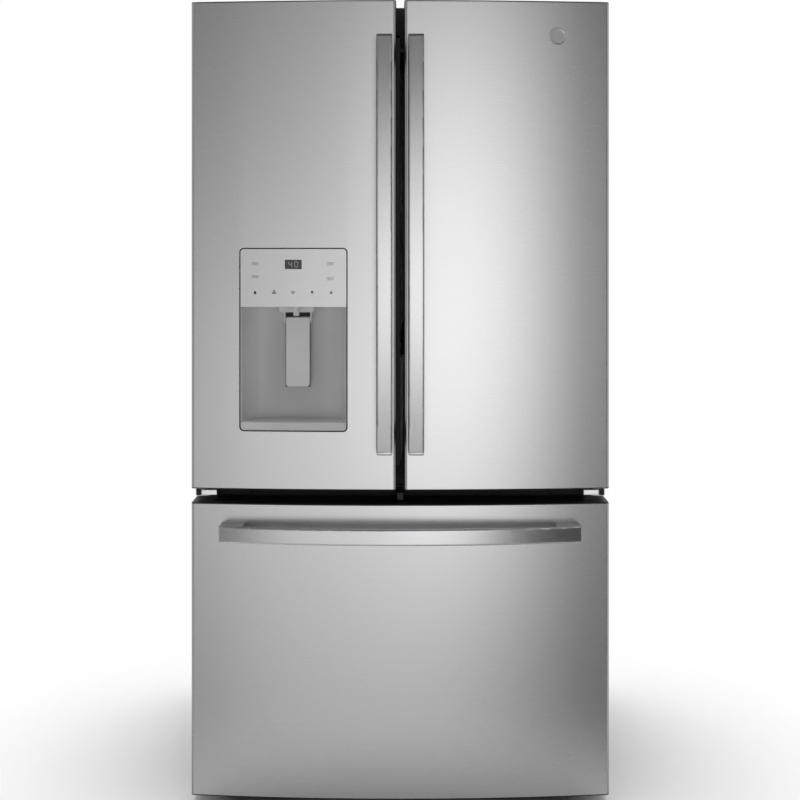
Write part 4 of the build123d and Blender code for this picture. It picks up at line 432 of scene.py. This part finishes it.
# %% Places on the bowed fronts
BOW_RISE = 0.026
front_low, front_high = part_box("freezer_skin")
BOW_RADIUS = (front_high.x ** 2 + BOW_RISE ** 2) / (2 * BOW_RISE)
BOW_CENTRE = front_low.y + BOW_RADIUS


def bow_of(x):
    return BOW_CENTRE - math.sqrt(BOW_RADIUS ** 2 - x ** 2)


def on_front(x, z, lift=0.0):
    """A place on the bowed front: local Z points out of the door and local Y points up."""
    out_angle = math.asin(x / BOW_RADIUS)
    return at(x, bow_of(x) - lift, z) @ Matrix.Rotation(out_angle, 4, "Z") @ TO_FRONT


print("the fronts are bowed with a radius of", round(BOW_RADIUS, 3), "m")

# %% [markdown]
# ## The round badge
# A small stamped disc sits near the top of the right door. It is a shallow dish with a rolled rim. It could
# be cut and inset from a cylinder, but spinning a profile of a few points gives the rim in one go. Points
# close to each bend keep the flat middle flat when the faces are shaded smooth.

# %% A bare disc on the right door
BADGE_X = 0.341
BADGE_Z = 1.666
BADGE_STEPS = 64
badge_profile = [
    (0.0, 0.0009), (0.014, 0.0009), (0.0160, 0.0009), (0.0164, 0.0010), (0.0170, 0.0016), (0.0174, 0.0017),
    (0.0184, 0.0017), (0.0188, 0.0016), (0.0194, 0.0009), (0.0196, 0.0006), (0.0196, -0.0006),
]
bm = bmesh.new()
turned_profile(bm, badge_profile, on_front(BADGE_X, BADGE_Z), BADGE_STEPS)
badge_steel = metal("badge_steel", (0.5, 0.5, 0.505), (0.56, 0.56, 0.565), (0.3, 0.36), ALONG_X,
                    depth=0.00001, strength=0.08)
piece("round_badge", bm, badge_steel, "right_door")

# %% [markdown]
# ## Marks on the dispenser panel
# The panel is a touch membrane with printed keys, and a small window shows two digits. We use plain pictures
# (a drop, cubes, crushed ice, a lamp, a padlock), each built from little flat tiles and dots, and a
# seven-segment number. The upper keys have two rules with dots between them. An image could be laid on the
# panel, but thin solids stay sharp from near and need no unwrapping.

# %% Tiles and dots of ink
INK_THICK = 0.0003
INK_LIFT = 0.0001
DOT_STEPS = 20


def tile(bm, x, z, width, height, turn=0.0, thick=INK_THICK, lift=INK_LIFT):
    place = on_front(x, z, lift) @ Matrix.Rotation(turn, 4, "Z")
    slab(bm, (width, height, thick), place)


def dot(bm, x, z, radius):
    half = INK_THICK / 2
    disc = [(0.0, half), (radius, half), (radius, -half), (0.0, -half)]
    turned_profile(bm, disc, on_front(x, z, INK_LIFT), DOT_STEPS)


ink = moulded("printed_ink", (0.11, 0.11, 0.12), (0.4, 0.5), 1500.0, 0.02)
print("ink stands", round((INK_LIFT + INK_THICK / 2) * 1000, 2), "mm proud")

# %% Five pictures
SIXTH_TURN = 1.047
CHIP_TURN = 0.9


def drop(bm, x, z, size):
    dot(bm, x, z - 0.2 * size, 0.34 * size)
    tile(bm, x, z + 0.05 * size, 0.46 * size, 0.46 * size, math.radians(45))


def cubes(bm, x, z, size):
    for dx, dz in ((-0.27, -0.2), (0.27, -0.2), (0.0, 0.3)):
        tile(bm, x + dx * size, z + dz * size, 0.42 * size, 0.42 * size, 0.15 + dx)


def crushed(bm, x, z, size):
    for k in range(7):
        reach = 0.0 if k == 0 else 0.36 * size
        chip_x = x + reach * math.cos(SIXTH_TURN * k)
        chip_z = z + reach * math.sin(SIXTH_TURN * k)
        tile(bm, chip_x, chip_z, 0.22 * size, 0.22 * size, CHIP_TURN * k)


def lamp(bm, x, z, size):
    dot(bm, x, z + 0.12 * size, 0.3 * size)
    tile(bm, x, z - 0.26 * size, 0.26 * size, 0.14 * size)
    tile(bm, x, z - 0.42 * size, 0.2 * size, 0.08 * size)


def padlock(bm, x, z, size):
    tile(bm, x, z - 0.15 * size, 0.56 * size, 0.42 * size)
    for side in (-1, 1):
        tile(bm, x + 0.19 * side * size, z + 0.18 * size, 0.08 * size, 0.28 * size)
    tile(bm, x, z + 0.34 * size, 0.46 * size, 0.08 * size)


pictures = (drop, cubes, crushed, lamp, padlock)
print(len(pictures), "pictures for the keys")

# %% Two digits in the window
glow, glow_tree, glow_shader, glow_place = new_material("display_glow")
glow_skin = use_group(glow_tree, skin_group, glow_place)
glow_colour = mixed_colour(glow_tree, glow_skin.outputs["Cloud"], (0.5, 0.55, 0.58), (0.6, 0.64, 0.67))
glow_tree.links.new(glow_colour, glow_shader.inputs["Emission Color"])
glow_shader.inputs["Emission Strength"].default_value = 0.3
glow_shader.inputs["Base Color"].default_value = (0.3, 0.32, 0.34, 1.0)

SEGMENTS = {
    "a": (0, 1, 0), "b": (0.5, 0.5, 1), "c": (0.5, -0.5, 1), "d": (0, -1, 0),
    "e": (-0.5, -0.5, 1), "f": (-0.5, 0.5, 1), "g": (0, 0, 0),
}
DIGIT_WIDE = 0.0066
DIGIT_STEP = 0.0065
BAR_LONG = 0.0044
BAR_THIN = 0.0011
DIGIT_THICK = 0.0004
DIGIT_LIFT = 0.0004
DIGIT_SHARE = 0.60
BAR_SHARE = 0.42
window_low, window_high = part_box("display_window")
window_x = (window_low.x + window_high.x) / 2
window_z = (window_low.z + window_high.z) / 2
digit_high = DIGIT_SHARE * (window_high.z - window_low.z)
bm = bmesh.new()
for centre, lit in ((window_x - DIGIT_STEP, "fgbc"), (window_x + DIGIT_STEP, "abcdef")):
    for letter in lit:
        sx, sz, upright = SEGMENTS[letter]
        width, height = (BAR_THIN, BAR_SHARE * digit_high) if upright else (BAR_LONG, BAR_THIN)
        z = window_z + sz * digit_high / 2
        x = centre + sx * DIGIT_WIDE
        tile(bm, x, z, width, height, thick=DIGIT_THICK, lift=DIGIT_LIFT)
piece("display_digits", bm, glow, "left_door")

# %% Key marks
FIRST_KEY_X = -0.314
LAST_KEY_X = -0.151
KEY_STEP = 0.0413
KEY_Z = 1.113
KEY_SIZE = 0.0085
UPPER_KEYS = ((FIRST_KEY_X, 1.1745), (LAST_KEY_X, 1.1745), (FIRST_KEY_X, 1.1465), (LAST_KEY_X, 1.1425))
RULE_SIZE = (0.016, 0.0006)
RULE_APART = 0.0026
DOT_STEP = 0.0045
DOT_RADIUS = 0.0011
bm = bmesh.new()
for k, draw in enumerate(pictures):
    draw(bm, FIRST_KEY_X + KEY_STEP * k, KEY_Z, KEY_SIZE)
for x, z in UPPER_KEYS:
    for side in (-1, 1):
        tile(bm, x, z + RULE_APART * side, *RULE_SIZE)
    for side in (-1, 0, 1):
        dot(bm, x + DOT_STEP * side, z, DOT_RADIUS)
piece("panel_marks", bm, ink, "left_door")

# %% [markdown]
# ## The seam round the dispenser
# Where the moulded dispenser meets the steel skin there is a thin seam, and a thin dark ring laid over it
# paints the shade of that seam. We make it from one flat grid face: its corners are rounded with a vertex
# bevel, its border is cut off with an inset, and the middle is thrown away. The ring that is left is given
# some thickness and then laid on the bow of the door.

# %% A dark ring of painted shade
SEAM_SHADE_GROW = 0.0006
SEAM_SHADE_WIDE = 0.0022
SEAM_SHADE_THICK = 0.0012
SEAM_SHADE_CORNER = 0.0095
SEAM_SHADE_LIFT = 0.0005
LONG_EDGE = 0.05
housing_low, housing_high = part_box("dispenser_housing")
housing_middle = (housing_low + housing_high) / 2
half_x = (housing_high.x - housing_low.x) / 2 + SEAM_SHADE_GROW
half_z = (housing_high.z - housing_low.z) / 2 + SEAM_SHADE_GROW
bm = bmesh.new()
bmesh.ops.create_grid(bm, x_segments=1, y_segments=1, size=1.0)
bmesh.ops.scale(bm, vec=(half_x, half_z, 1.0), verts=bm.verts)
bmesh.ops.bevel(bm, geom=bm.verts[:], offset=SEAM_SHADE_CORNER, offset_type="OFFSET", segments=6, profile=0.5,
                affect="VERTICES", material=-1)
long_edges = [e for e in bm.edges if e.calc_length() > LONG_EDGE]
bmesh.ops.subdivide_edges(bm, edges=long_edges, cuts=12)
middle = bm.faces[:]
bmesh.ops.inset_region(bm, faces=middle, thickness=SEAM_SHADE_WIDE, use_boundary=True, use_even_offset=True)
bmesh.ops.delete(bm, geom=middle, context="FACES")
bmesh.ops.solidify(bm, geom=bm.faces[:], thickness=SEAM_SHADE_THICK)
place = at(housing_middle.x, 0.0, housing_middle.z) @ TO_FRONT
bmesh.ops.transform(bm, matrix=place, verts=bm.verts)
for vert in bm.verts:
    vert.co.y += bow_of(vert.co.x) - SEAM_SHADE_LIFT
# The dark ring is painted shade along the seam.
piece("dispenser_seam_shade", bm, finishes["dark_trim"], "left_door")

# %% [markdown]
# ## The stop between the doors
# A small stop stands out from the middle rail, just where the two doors and the drawer meet, and shows as a
# grey block in the dark gap. The CAD node gives its root, and a bevelled slab carries it forward.

# %% Stop arm
STOP_SIZE = (0.014, 0.070, 0.0165)
STOP_OVERLAP = 0.001
STOP_Z = 0.6665
rail_low, rail_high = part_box("middle_rail")
stop_rubber = moulded("stop_rubber", (0.045, 0.045, 0.047), (0.5, 0.62), 1400.0, 0.1)
bm = bmesh.new()
stop_y = rail_low.y + STOP_OVERLAP - STOP_SIZE[1] / 2
slab(bm, STOP_SIZE, at(0.0, stop_y, STOP_Z), round_edge=0.0012)
piece("stop_arm", bm, stop_rubber, "cabinet")

# %% [markdown]
# ## Hinge arms and painted shade in the dark gaps
# The middle hinges are bolted to the rail behind the doors. Black caps are laid over the bolted flanges as
# painted shade, so only the pale arm that carries the hinge pin shows between the door and the drawer. A
# black strip stands above and below the folding mullion, between the two doors. It is painted shade, laid
# over the case front and the top edge of the rail where they lie in the gap. All of it is bevelled slabs,
# and their depths follow the CAD boxes.

# %% Hinge arms
ARM_SIZE = (0.034, 0.016, 0.0125)
ARM_X = 0.4175
ARM_Z = 0.6747
ARM_PROUD = 0.0025
pin_low, pin_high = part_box("center_hinges")
arm_zinc = metal("arm_zinc", (0.86, 0.86, 0.86), (0.95, 0.95, 0.95), (0.3, 0.42), ROLLED)
bm = bmesh.new()
arm_y = pin_low.y - ARM_PROUD + ARM_SIZE[1] / 2
for side in (-1, 1):
    slab(bm, ARM_SIZE, at(ARM_X * side, arm_y, ARM_Z), round_edge=0.0015)
piece("hinge_arms", bm, arm_zinc, "cabinet")

# %% Painted shade on the flanges and round the mullion, and pin bushes
FLANGE_THICK = 0.004
FLANGE_SHADE_SIZE = (0.076, 0.003, 0.027)
FLANGE_SHADE_X = 0.374
FLANGE_SHADE_Z = 0.6705
BUSH_SIZE = (0.011, 0.020, 0.012)
BUSH_X = 0.4405
BUSH_Z = 0.6745
BUSH_PROUD = 0.0035
UPPER_GAP_SHADE = (0.024, 0.003, 0.062)
UPPER_GAP_SHADE_DROP = 0.0275
LOWER_GAP_SHADE = (0.024, 0.003, 0.036)
LOWER_GAP_SHADE_Z = 0.7025
case_low, case_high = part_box("outer_wrapper")
bm = bmesh.new()
flange_shade_y = pin_high.y - FLANGE_THICK - FLANGE_SHADE_SIZE[1] / 2
bush_y = pin_low.y - BUSH_PROUD + BUSH_SIZE[1] / 2
for side in (-1, 1):
    # Dark caps over the flanges: painted shade.
    slab(bm, FLANGE_SHADE_SIZE, at(FLANGE_SHADE_X * side, flange_shade_y, FLANGE_SHADE_Z), round_edge=0.0012)
    slab(bm, BUSH_SIZE, at(BUSH_X * side, bush_y, BUSH_Z), round_edge=0.002)
gap_shade_y = case_low.y - UPPER_GAP_SHADE[1] / 2
# Dark strips above and below the mullion: painted shade.
slab(bm, UPPER_GAP_SHADE, at(0.0, gap_shade_y, case_high.z - UPPER_GAP_SHADE_DROP), round_edge=0.001)
slab(bm, LOWER_GAP_SHADE, at(0.0, gap_shade_y, LOWER_GAP_SHADE_Z), round_edge=0.001)
piece("gap_shade_and_bushes", bm, finishes["dark_trim"], "cabinet")

# %% [markdown]
# ## Behind the paddle
# The paddle is pressed by a glass and works a switch. A dark backing stands a little past its edges and
# moves with it, as painted shadow round the paddle. The box of the switch stays in the alcove above it, and
# its dark colour paints the shade of the slot there. Both are slabs, and the backing stops below the ears
# that hold the paddle, so that it can swing.

# %% Painted shadow behind the paddle, and the switch box
SHADOW_BACKING_SIZE = (0.0545, 0.0012, 0.138)
SHADOW_BACKING_BEHIND = 0.0004
SHADOW_BACKING_BELOW = 0.0007
SWITCH_SHADE_SIZE = (0.052, 0.029, 0.0115)
SWITCH_SHADE_ABOVE = 0.00075
paddle_low, paddle_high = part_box("dispenser_paddle")
paddle_x = (paddle_low.x + paddle_high.x) / 2
bm = bmesh.new()
shadow_backing_z = paddle_low.z - SHADOW_BACKING_BELOW + SHADOW_BACKING_SIZE[2] / 2
# The dark backing is painted shadow round the paddle.
slab(bm, SHADOW_BACKING_SIZE, at(paddle_x, paddle_high.y + SHADOW_BACKING_BEHIND, shadow_backing_z), round_edge=0.0004)
piece("paddle_shadow_backing", bm, finishes["dark_trim"], "paddle")
bm = bmesh.new()
switch_shade_z = paddle_high.z + SWITCH_SHADE_ABOVE + SWITCH_SHADE_SIZE[2] / 2
# The dark switch box paints the shade of the slot above the paddle.
slab(bm, SWITCH_SHADE_SIZE, at(paddle_x, housing_high.y - SWITCH_SHADE_SIZE[1] / 2, switch_shade_z), round_edge=0.001)
piece("paddle_switch_shade", bm, finishes["dark_trim"], "left_door")

# %% [markdown]
# ## Ends of the door handles
# A rounded end piece closes each end of a door handle: a dark one at the head, whose dark colour is painted
# shade on the top end, and a polished one at the foot, which mirrors the white floor as a light line. They
# could be cut into the handle, but as pieces of their own they get their own finish. The handle is bowed, so
# its ends are tilted, and the end pieces tilt with them.

# %% Handle ends
END_TILT = math.radians(4.6)
END_SIZE = (0.0343, 0.0124, 0.0085)
END_ROUND = 0.003
END_PROUD = 0.0003
HANDLE_BOW = 0.018
FOOT_DROP = 0.0007
HEAD_DROP = 0.0027
handle_low, handle_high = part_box("right_door_handle")
handle_x = (handle_low.x + handle_high.x) / 2
end_y = handle_low.y + HANDLE_BOW + END_SIZE[1] / 2 - END_PROUD
foot_steel = metal("foot_steel", (0.6, 0.6, 0.61), (0.68, 0.68, 0.69), (0.14, 0.2), ALONG_X,
                   depth=0.00001, strength=0.05)
# The head piece is dark as painted shade on the top end of the handle.
head_shade_steel = metal("head_shade_steel", (0.13, 0.13, 0.135), (0.17, 0.17, 0.175), (0.3, 0.36), ALONG_X,
                   depth=0.00001, strength=0.05)
ends = (
    ("foot", handle_low.z - FOOT_DROP, END_TILT, foot_steel),
    ("head", handle_high.z - HEAD_DROP, -END_TILT, head_shade_steel),
)
for body, side in (("left_door", -1), ("right_door", 1)):
    for label, z, tilt, steel in ends:
        bm = bmesh.new()
        place = at(side * handle_x, end_y, z) @ Matrix.Rotation(tilt, 4, "X")
        slab(bm, END_SIZE, place, END_ROUND, segments=5)
        smooth_faces(bm.verts)
        piece(body + "_handle_" + label, bm, steel, body)

# %% [markdown]
# ## Trim on the door bins
# A satin strip runs along the top of each clear bin, on the side that faces the shelves. It shows as soon
# as a door opens, and rides on that door. The tops of the bins follow from their boxes and their spacing.

# %% Bin strips
BIN_HEIGHT = 0.095
LOWER_BIN_STEP = 0.2
UPPER_BIN_STEP = 0.19
STRIP_SIZE = (0.252, 0.002, 0.011)
STRIP_PROUD = 0.0003
STRIP_DROP = 0.0115
satin = metal("satin_trim", (0.6, 0.6, 0.61), (0.7, 0.7, 0.71), (0.3, 0.4), ALONG_X,
              depth=0.00002, strength=0.1)


def bin_strips(body, low, high, tops):
    middle_x = (low.x + high.x) / 2
    bm = bmesh.new()
    for top in tops:
        slab(bm, STRIP_SIZE, at(middle_x, high.y + STRIP_PROUD, top - STRIP_DROP), round_edge=0.0009)
    piece(body + "_bin_strips", bm, satin, body)


low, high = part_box("left_door_bins")
bin_strips("left_door", low, high, (low.z + BIN_HEIGHT, high.z))
low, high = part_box("right_door_bins")
first_top = low.z + BIN_HEIGHT
second_top = first_top + LOWER_BIN_STEP
bin_strips("right_door", low, high, (first_top, second_top, high.z - UPPER_BIN_STEP, high.z))

# %% [markdown]
# ## Screws
# Washer-head screws hold the sheets at the back and the hinge covers, and each handle post is held by a set
# screw that is reached from the side. The heads are spun profiles. The set screws are spun in only six
# steps, which makes their outline and their sunk socket a hexagon.

# %% Screw heads
WASHER_HEAD = [(0.0, 0.5), (0.35, 0.5), (0.42, 0.44), (0.42, 0.16), (0.8, 0.12), (0.85, 0.04), (0.85, -0.1)]
SET_SCREW = [(0.0, -0.25), (0.26, -0.25), (0.28, 0.1), (0.42, 0.1), (0.5, 0.0), (0.5, -0.4)]
ROUND_STEPS = 24
HEXAGON_STEPS = 6


def screw(bm, profile, place, size, steps):
    turned_profile(bm, [(size * radius, size * height) for radius, height in profile], place, steps)


screw_zinc = metal("screw_zinc", (0.5, 0.5, 0.5), (0.7, 0.7, 0.7), (0.25, 0.4), EVEN,
                   depth=0.00002, strength=0.1)
print("two kinds of screw, of", len(WASHER_HEAD), "and", len(SET_SCREW), "points")

# %% Screws at the back
COVER_SCREW = 0.006
PANEL_SCREW = 0.005
SCREW_INSET = 0.012
PANEL_LEVELS = (0.55, 0.85, 1.15, 1.45, 1.715)
cover_low, cover_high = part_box("rear_cover")
panel_low, panel_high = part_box("rear_panel")
bm = bmesh.new()
for x in (cover_low.x + SCREW_INSET, 0.0, cover_high.x - SCREW_INSET):
    for z in (cover_low.z + SCREW_INSET, cover_high.z - SCREW_INSET):
        screw(bm, WASHER_HEAD, at(x, cover_high.y, z) @ TO_BACK, COVER_SCREW, ROUND_STEPS)
for z in PANEL_LEVELS:
    for x in (panel_low.x + SCREW_INSET, panel_high.x - SCREW_INSET):
        screw(bm, WASHER_HEAD, at(x, panel_high.y, z) @ TO_BACK, PANEL_SCREW, ROUND_STEPS)
piece("rear_screws", bm, screw_zinc, "cabinet")

# %% Screws of the hinge covers
HINGE_SCREW_INSET = 0.03
HINGE_SCREW_Y = -0.165
hinge_low, hinge_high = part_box("hinge_covers")
bm = bmesh.new()
for side in (-1, 1):
    place = at(side * (hinge_high.x - HINGE_SCREW_INSET), HINGE_SCREW_Y, hinge_high.z)
    screw(bm, WASHER_HEAD, place, PANEL_SCREW, ROUND_STEPS)
piece("hinge_cover_screws", bm, screw_zinc, "cabinet")

# %% Set screws of the handles
SET_SCREW_SIZE = 0.006
POST_SIDE = 0.0448
POST_Y = -0.413
POST_FROM_END = 0.022
for body, side in (("left_door", -1), ("right_door", 1)):
    outward = Matrix.Rotation(math.radians(90 * side), 4, "Y")
    bm = bmesh.new()
    for z in (handle_low.z + POST_FROM_END, handle_high.z - POST_FROM_END):
        screw(bm, SET_SCREW, at(side * POST_SIDE, POST_Y, z) @ outward, SET_SCREW_SIZE, HEXAGON_STEPS)
    piece(body + "_set_screws", bm, screw_zinc, body)

# %% [markdown]
# ## The floor
# A white floor keeps the soft shadow of the refrigerator. A sheet with an edge would show as a horizon, so
# this one fades out round the object and the white background takes over.

# %% Floor
FLOOR_HALF = 3.0
FADE = (0.5, 1.1)
floor_mesh = bpy.data.meshes.new("floor")
bm = bmesh.new()
bmesh.ops.create_grid(bm, x_segments=1, y_segments=1, size=FLOOR_HALF)
bm.to_mesh(floor_mesh)
bm.free()
floor = bpy.data.objects.new("floor", floor_mesh)
bpy.context.scene.collection.objects.link(floor)
floor_paint, tree, shader, place = new_material("floor_paint")
skin = use_group(tree, skin_group, place)
floor_colour = mixed_colour(tree, skin.outputs["Cloud"], (0.9, 0.9, 0.9), (0.92, 0.92, 0.92))
tree.links.new(floor_colour, shader.inputs["Base Color"])
shader.inputs["Roughness"].default_value = 0.8
away = tree.nodes.new("ShaderNodeVectorMath")
away.operation = "LENGTH"
tree.links.new(place, away.inputs[0])
tree.links.new(range_node(tree, away.outputs["Value"], *FADE, 1.0, 0.0), shader.inputs["Alpha"])
floor_mesh.materials.append(floor_paint)
print("the floor fades from", FADE[0], "to", FADE[1], "m")

# %% [markdown]
# ## The studio
# The camera sees a plain white background, and so do mirrored and refracted rays round the object, apart
# from a dimmer ceiling. In front stands the part of the studio that the bowed steel mirrors: one large soft
# box right of the middle, a weaker band of light below it, and a room that falls away to dark at both
# sides. That is why the fronts are bright in the middle and grey at their outer edges. Lamps could make
# this too, but in the world's shader each border of the light is a slope across or upward, and is easy to
# move.

# %% Directions in the room
world = bpy.data.worlds.new("studio")
bpy.context.scene.world = world
world.use_nodes = True
tree = world.node_tree
split = tree.nodes.new("ShaderNodeSeparateXYZ")
tree.links.new(tree.nodes.new("ShaderNodeTexCoord").outputs["Generated"], split.inputs[0])
LEAST_AHEAD = 0.05
forward = math_node(tree, "MULTIPLY", split.outputs["Y"], -1.0)
ahead = math_node(tree, "MAXIMUM", forward, LEAST_AHEAD)
across = math_node(tree, "DIVIDE", split.outputs["X"], ahead)
upward = math_node(tree, "DIVIDE", split.outputs["Z"], ahead)


def smooth_step(value, low, high, new_low=0.0, new_high=1.0):
    result = range_node(tree, value, low, high, new_low, new_high)
    result.node.interpolation_type = "SMOOTHSTEP"
    return result


def product(*values):
    total = values[0]
    for value in values[1:]:
        total = math_node(tree, "MULTIPLY", total, value)
    return total


def blend(mask, first, second):
    node = tree.nodes.new("ShaderNodeMix")
    for socket, value in zip((node.inputs[0], node.inputs[2], node.inputs[3]), (mask, first, second)):
        tree.links.new(value, socket)
    return node.outputs[0]


FRONT_SPAN = (-0.5, -0.8)
in_front = smooth_step(split.outputs["Y"], *FRONT_SPAN)
print("directions take", len(tree.nodes), "nodes")

# %% Soft box, low band and dark sides
def lit_patch(left, right, low, high, level):
    """A rectangle of light with soft borders: each border has a dark and a lit slope."""
    sides = (smooth_step(across, *left), smooth_step(across, *right))
    ends = (smooth_step(upward, *low), smooth_step(upward, *high))
    return product(*sides, *ends, level)


soft_box = lit_patch(left=(-0.08, 0.08), right=(0.34, 0.22),
                     low=(-0.29, -0.035), high=(0.28, 0.07), level=1.5)
low_band = lit_patch(left=(-0.56, -0.35), right=(0.35, 0.19),
                     low=(-0.37, -0.15), high=(0.11, -0.09), level=0.66)
dim_right = smooth_step(across, 0.06, 0.34, new_low=0.5, new_high=0.02)
dim_left = smooth_step(across, -0.62, -0.2, new_low=0.12, new_high=1.0)
dim_above = smooth_step(upward, 0.1, 0.45, new_low=1.0, new_high=0.25)
lit = math_node(tree, "ADD", soft_box, low_band)
front_light = math_node(tree, "ADD", lit, product(dim_right, dim_left, dim_above))
print("the room in front takes", len(tree.nodes), "nodes")

# %% What each kind of ray sees
WHITE = (1.0, 1.0, 1.0, 1.0)
path = tree.nodes.new("ShaderNodeLightPath")
mirrored = math_node(tree, "MAXIMUM", path.outputs["Is Glossy Ray"], path.outputs["Is Transmission Ray"])
white_round = smooth_step(split.outputs["Z"], 0.35, 0.8, new_low=1.0, new_high=0.3)
soft_round = smooth_step(split.outputs["Z"], 0.1, 0.7, new_low=0.75, new_high=0.55)
around = blend(mirrored, soft_round, white_round)
room = tree.nodes["Background"]
room.inputs["Color"].default_value = WHITE
tree.links.new(blend(in_front, around, front_light), room.inputs["Strength"])
seen = tree.nodes.new("ShaderNodeBackground")
seen.inputs["Color"].default_value = WHITE
seen.inputs["Strength"].default_value = 1.0
choose = tree.nodes.new("ShaderNodeMixShader")
tree.links.new(path.outputs["Is Camera Ray"], choose.inputs["Fac"])
tree.links.new(room.outputs[0], choose.inputs[1])
tree.links.new(seen.outputs[0], choose.inputs[2])
tree.links.new(choose.outputs[0], tree.nodes["World Output"].inputs["Surface"])
print("the world has", len(tree.nodes), "nodes")

# %% [markdown]
# ## Lamp and camera
# One large soft lamp hangs above and behind the refrigerator, lights the floor and keeps the shadow soft.
# The photograph was taken from above the middle of the object with a level camera, because its upright
# edges stay parallel. So our camera looks straight ahead, and the lens is shifted down to frame the front.

# %% Lamp
TOP_PLACE = Vector((0.0, 1.8, 4.2))
TOP_AIM = Vector((0.0, 0.4, 0.0))
TOP_SIDE = 4.0
TOP_WATTS = 150.0
top_light = bpy.data.lights.new("top_box", "AREA")
top_light.shape = "RECTANGLE"
top_light.size = TOP_SIDE
top_light.size_y = TOP_SIDE
top_light.energy = TOP_WATTS
top = bpy.data.objects.new("top_box", top_light)
top.location = TOP_PLACE
top.rotation_euler = (TOP_AIM - TOP_PLACE).to_track_quat("-Z", "Y").to_euler()
bpy.context.scene.collection.objects.link(top)
print("top lamp", TOP_WATTS, "W at", list(TOP_PLACE))

# %% Camera
CAMERA_AWAY = 3.299
CAMERA_HEIGHT = 1.2
LENS = 60.6
SENSOR = 36.0
SHIFT_RIGHT = -0.0003
SHIFT_UP = -0.185
camera = bpy.data.objects.new("camera", bpy.data.cameras.new("camera"))
bpy.context.scene.collection.objects.link(camera)
camera.location = (0.0, -CAMERA_AWAY, CAMERA_HEIGHT)
camera.rotation_euler = (math.radians(90), 0.0, 0.0)
camera.data.lens = LENS
camera.data.sensor_width = SENSOR
camera.data.shift_x = SHIFT_RIGHT
camera.data.shift_y = SHIFT_UP
bpy.context.scene.camera = camera
bpy.context.scene.view_settings.view_transform = "Standard"
print("camera at", [round(v, 3) for v in camera.location])
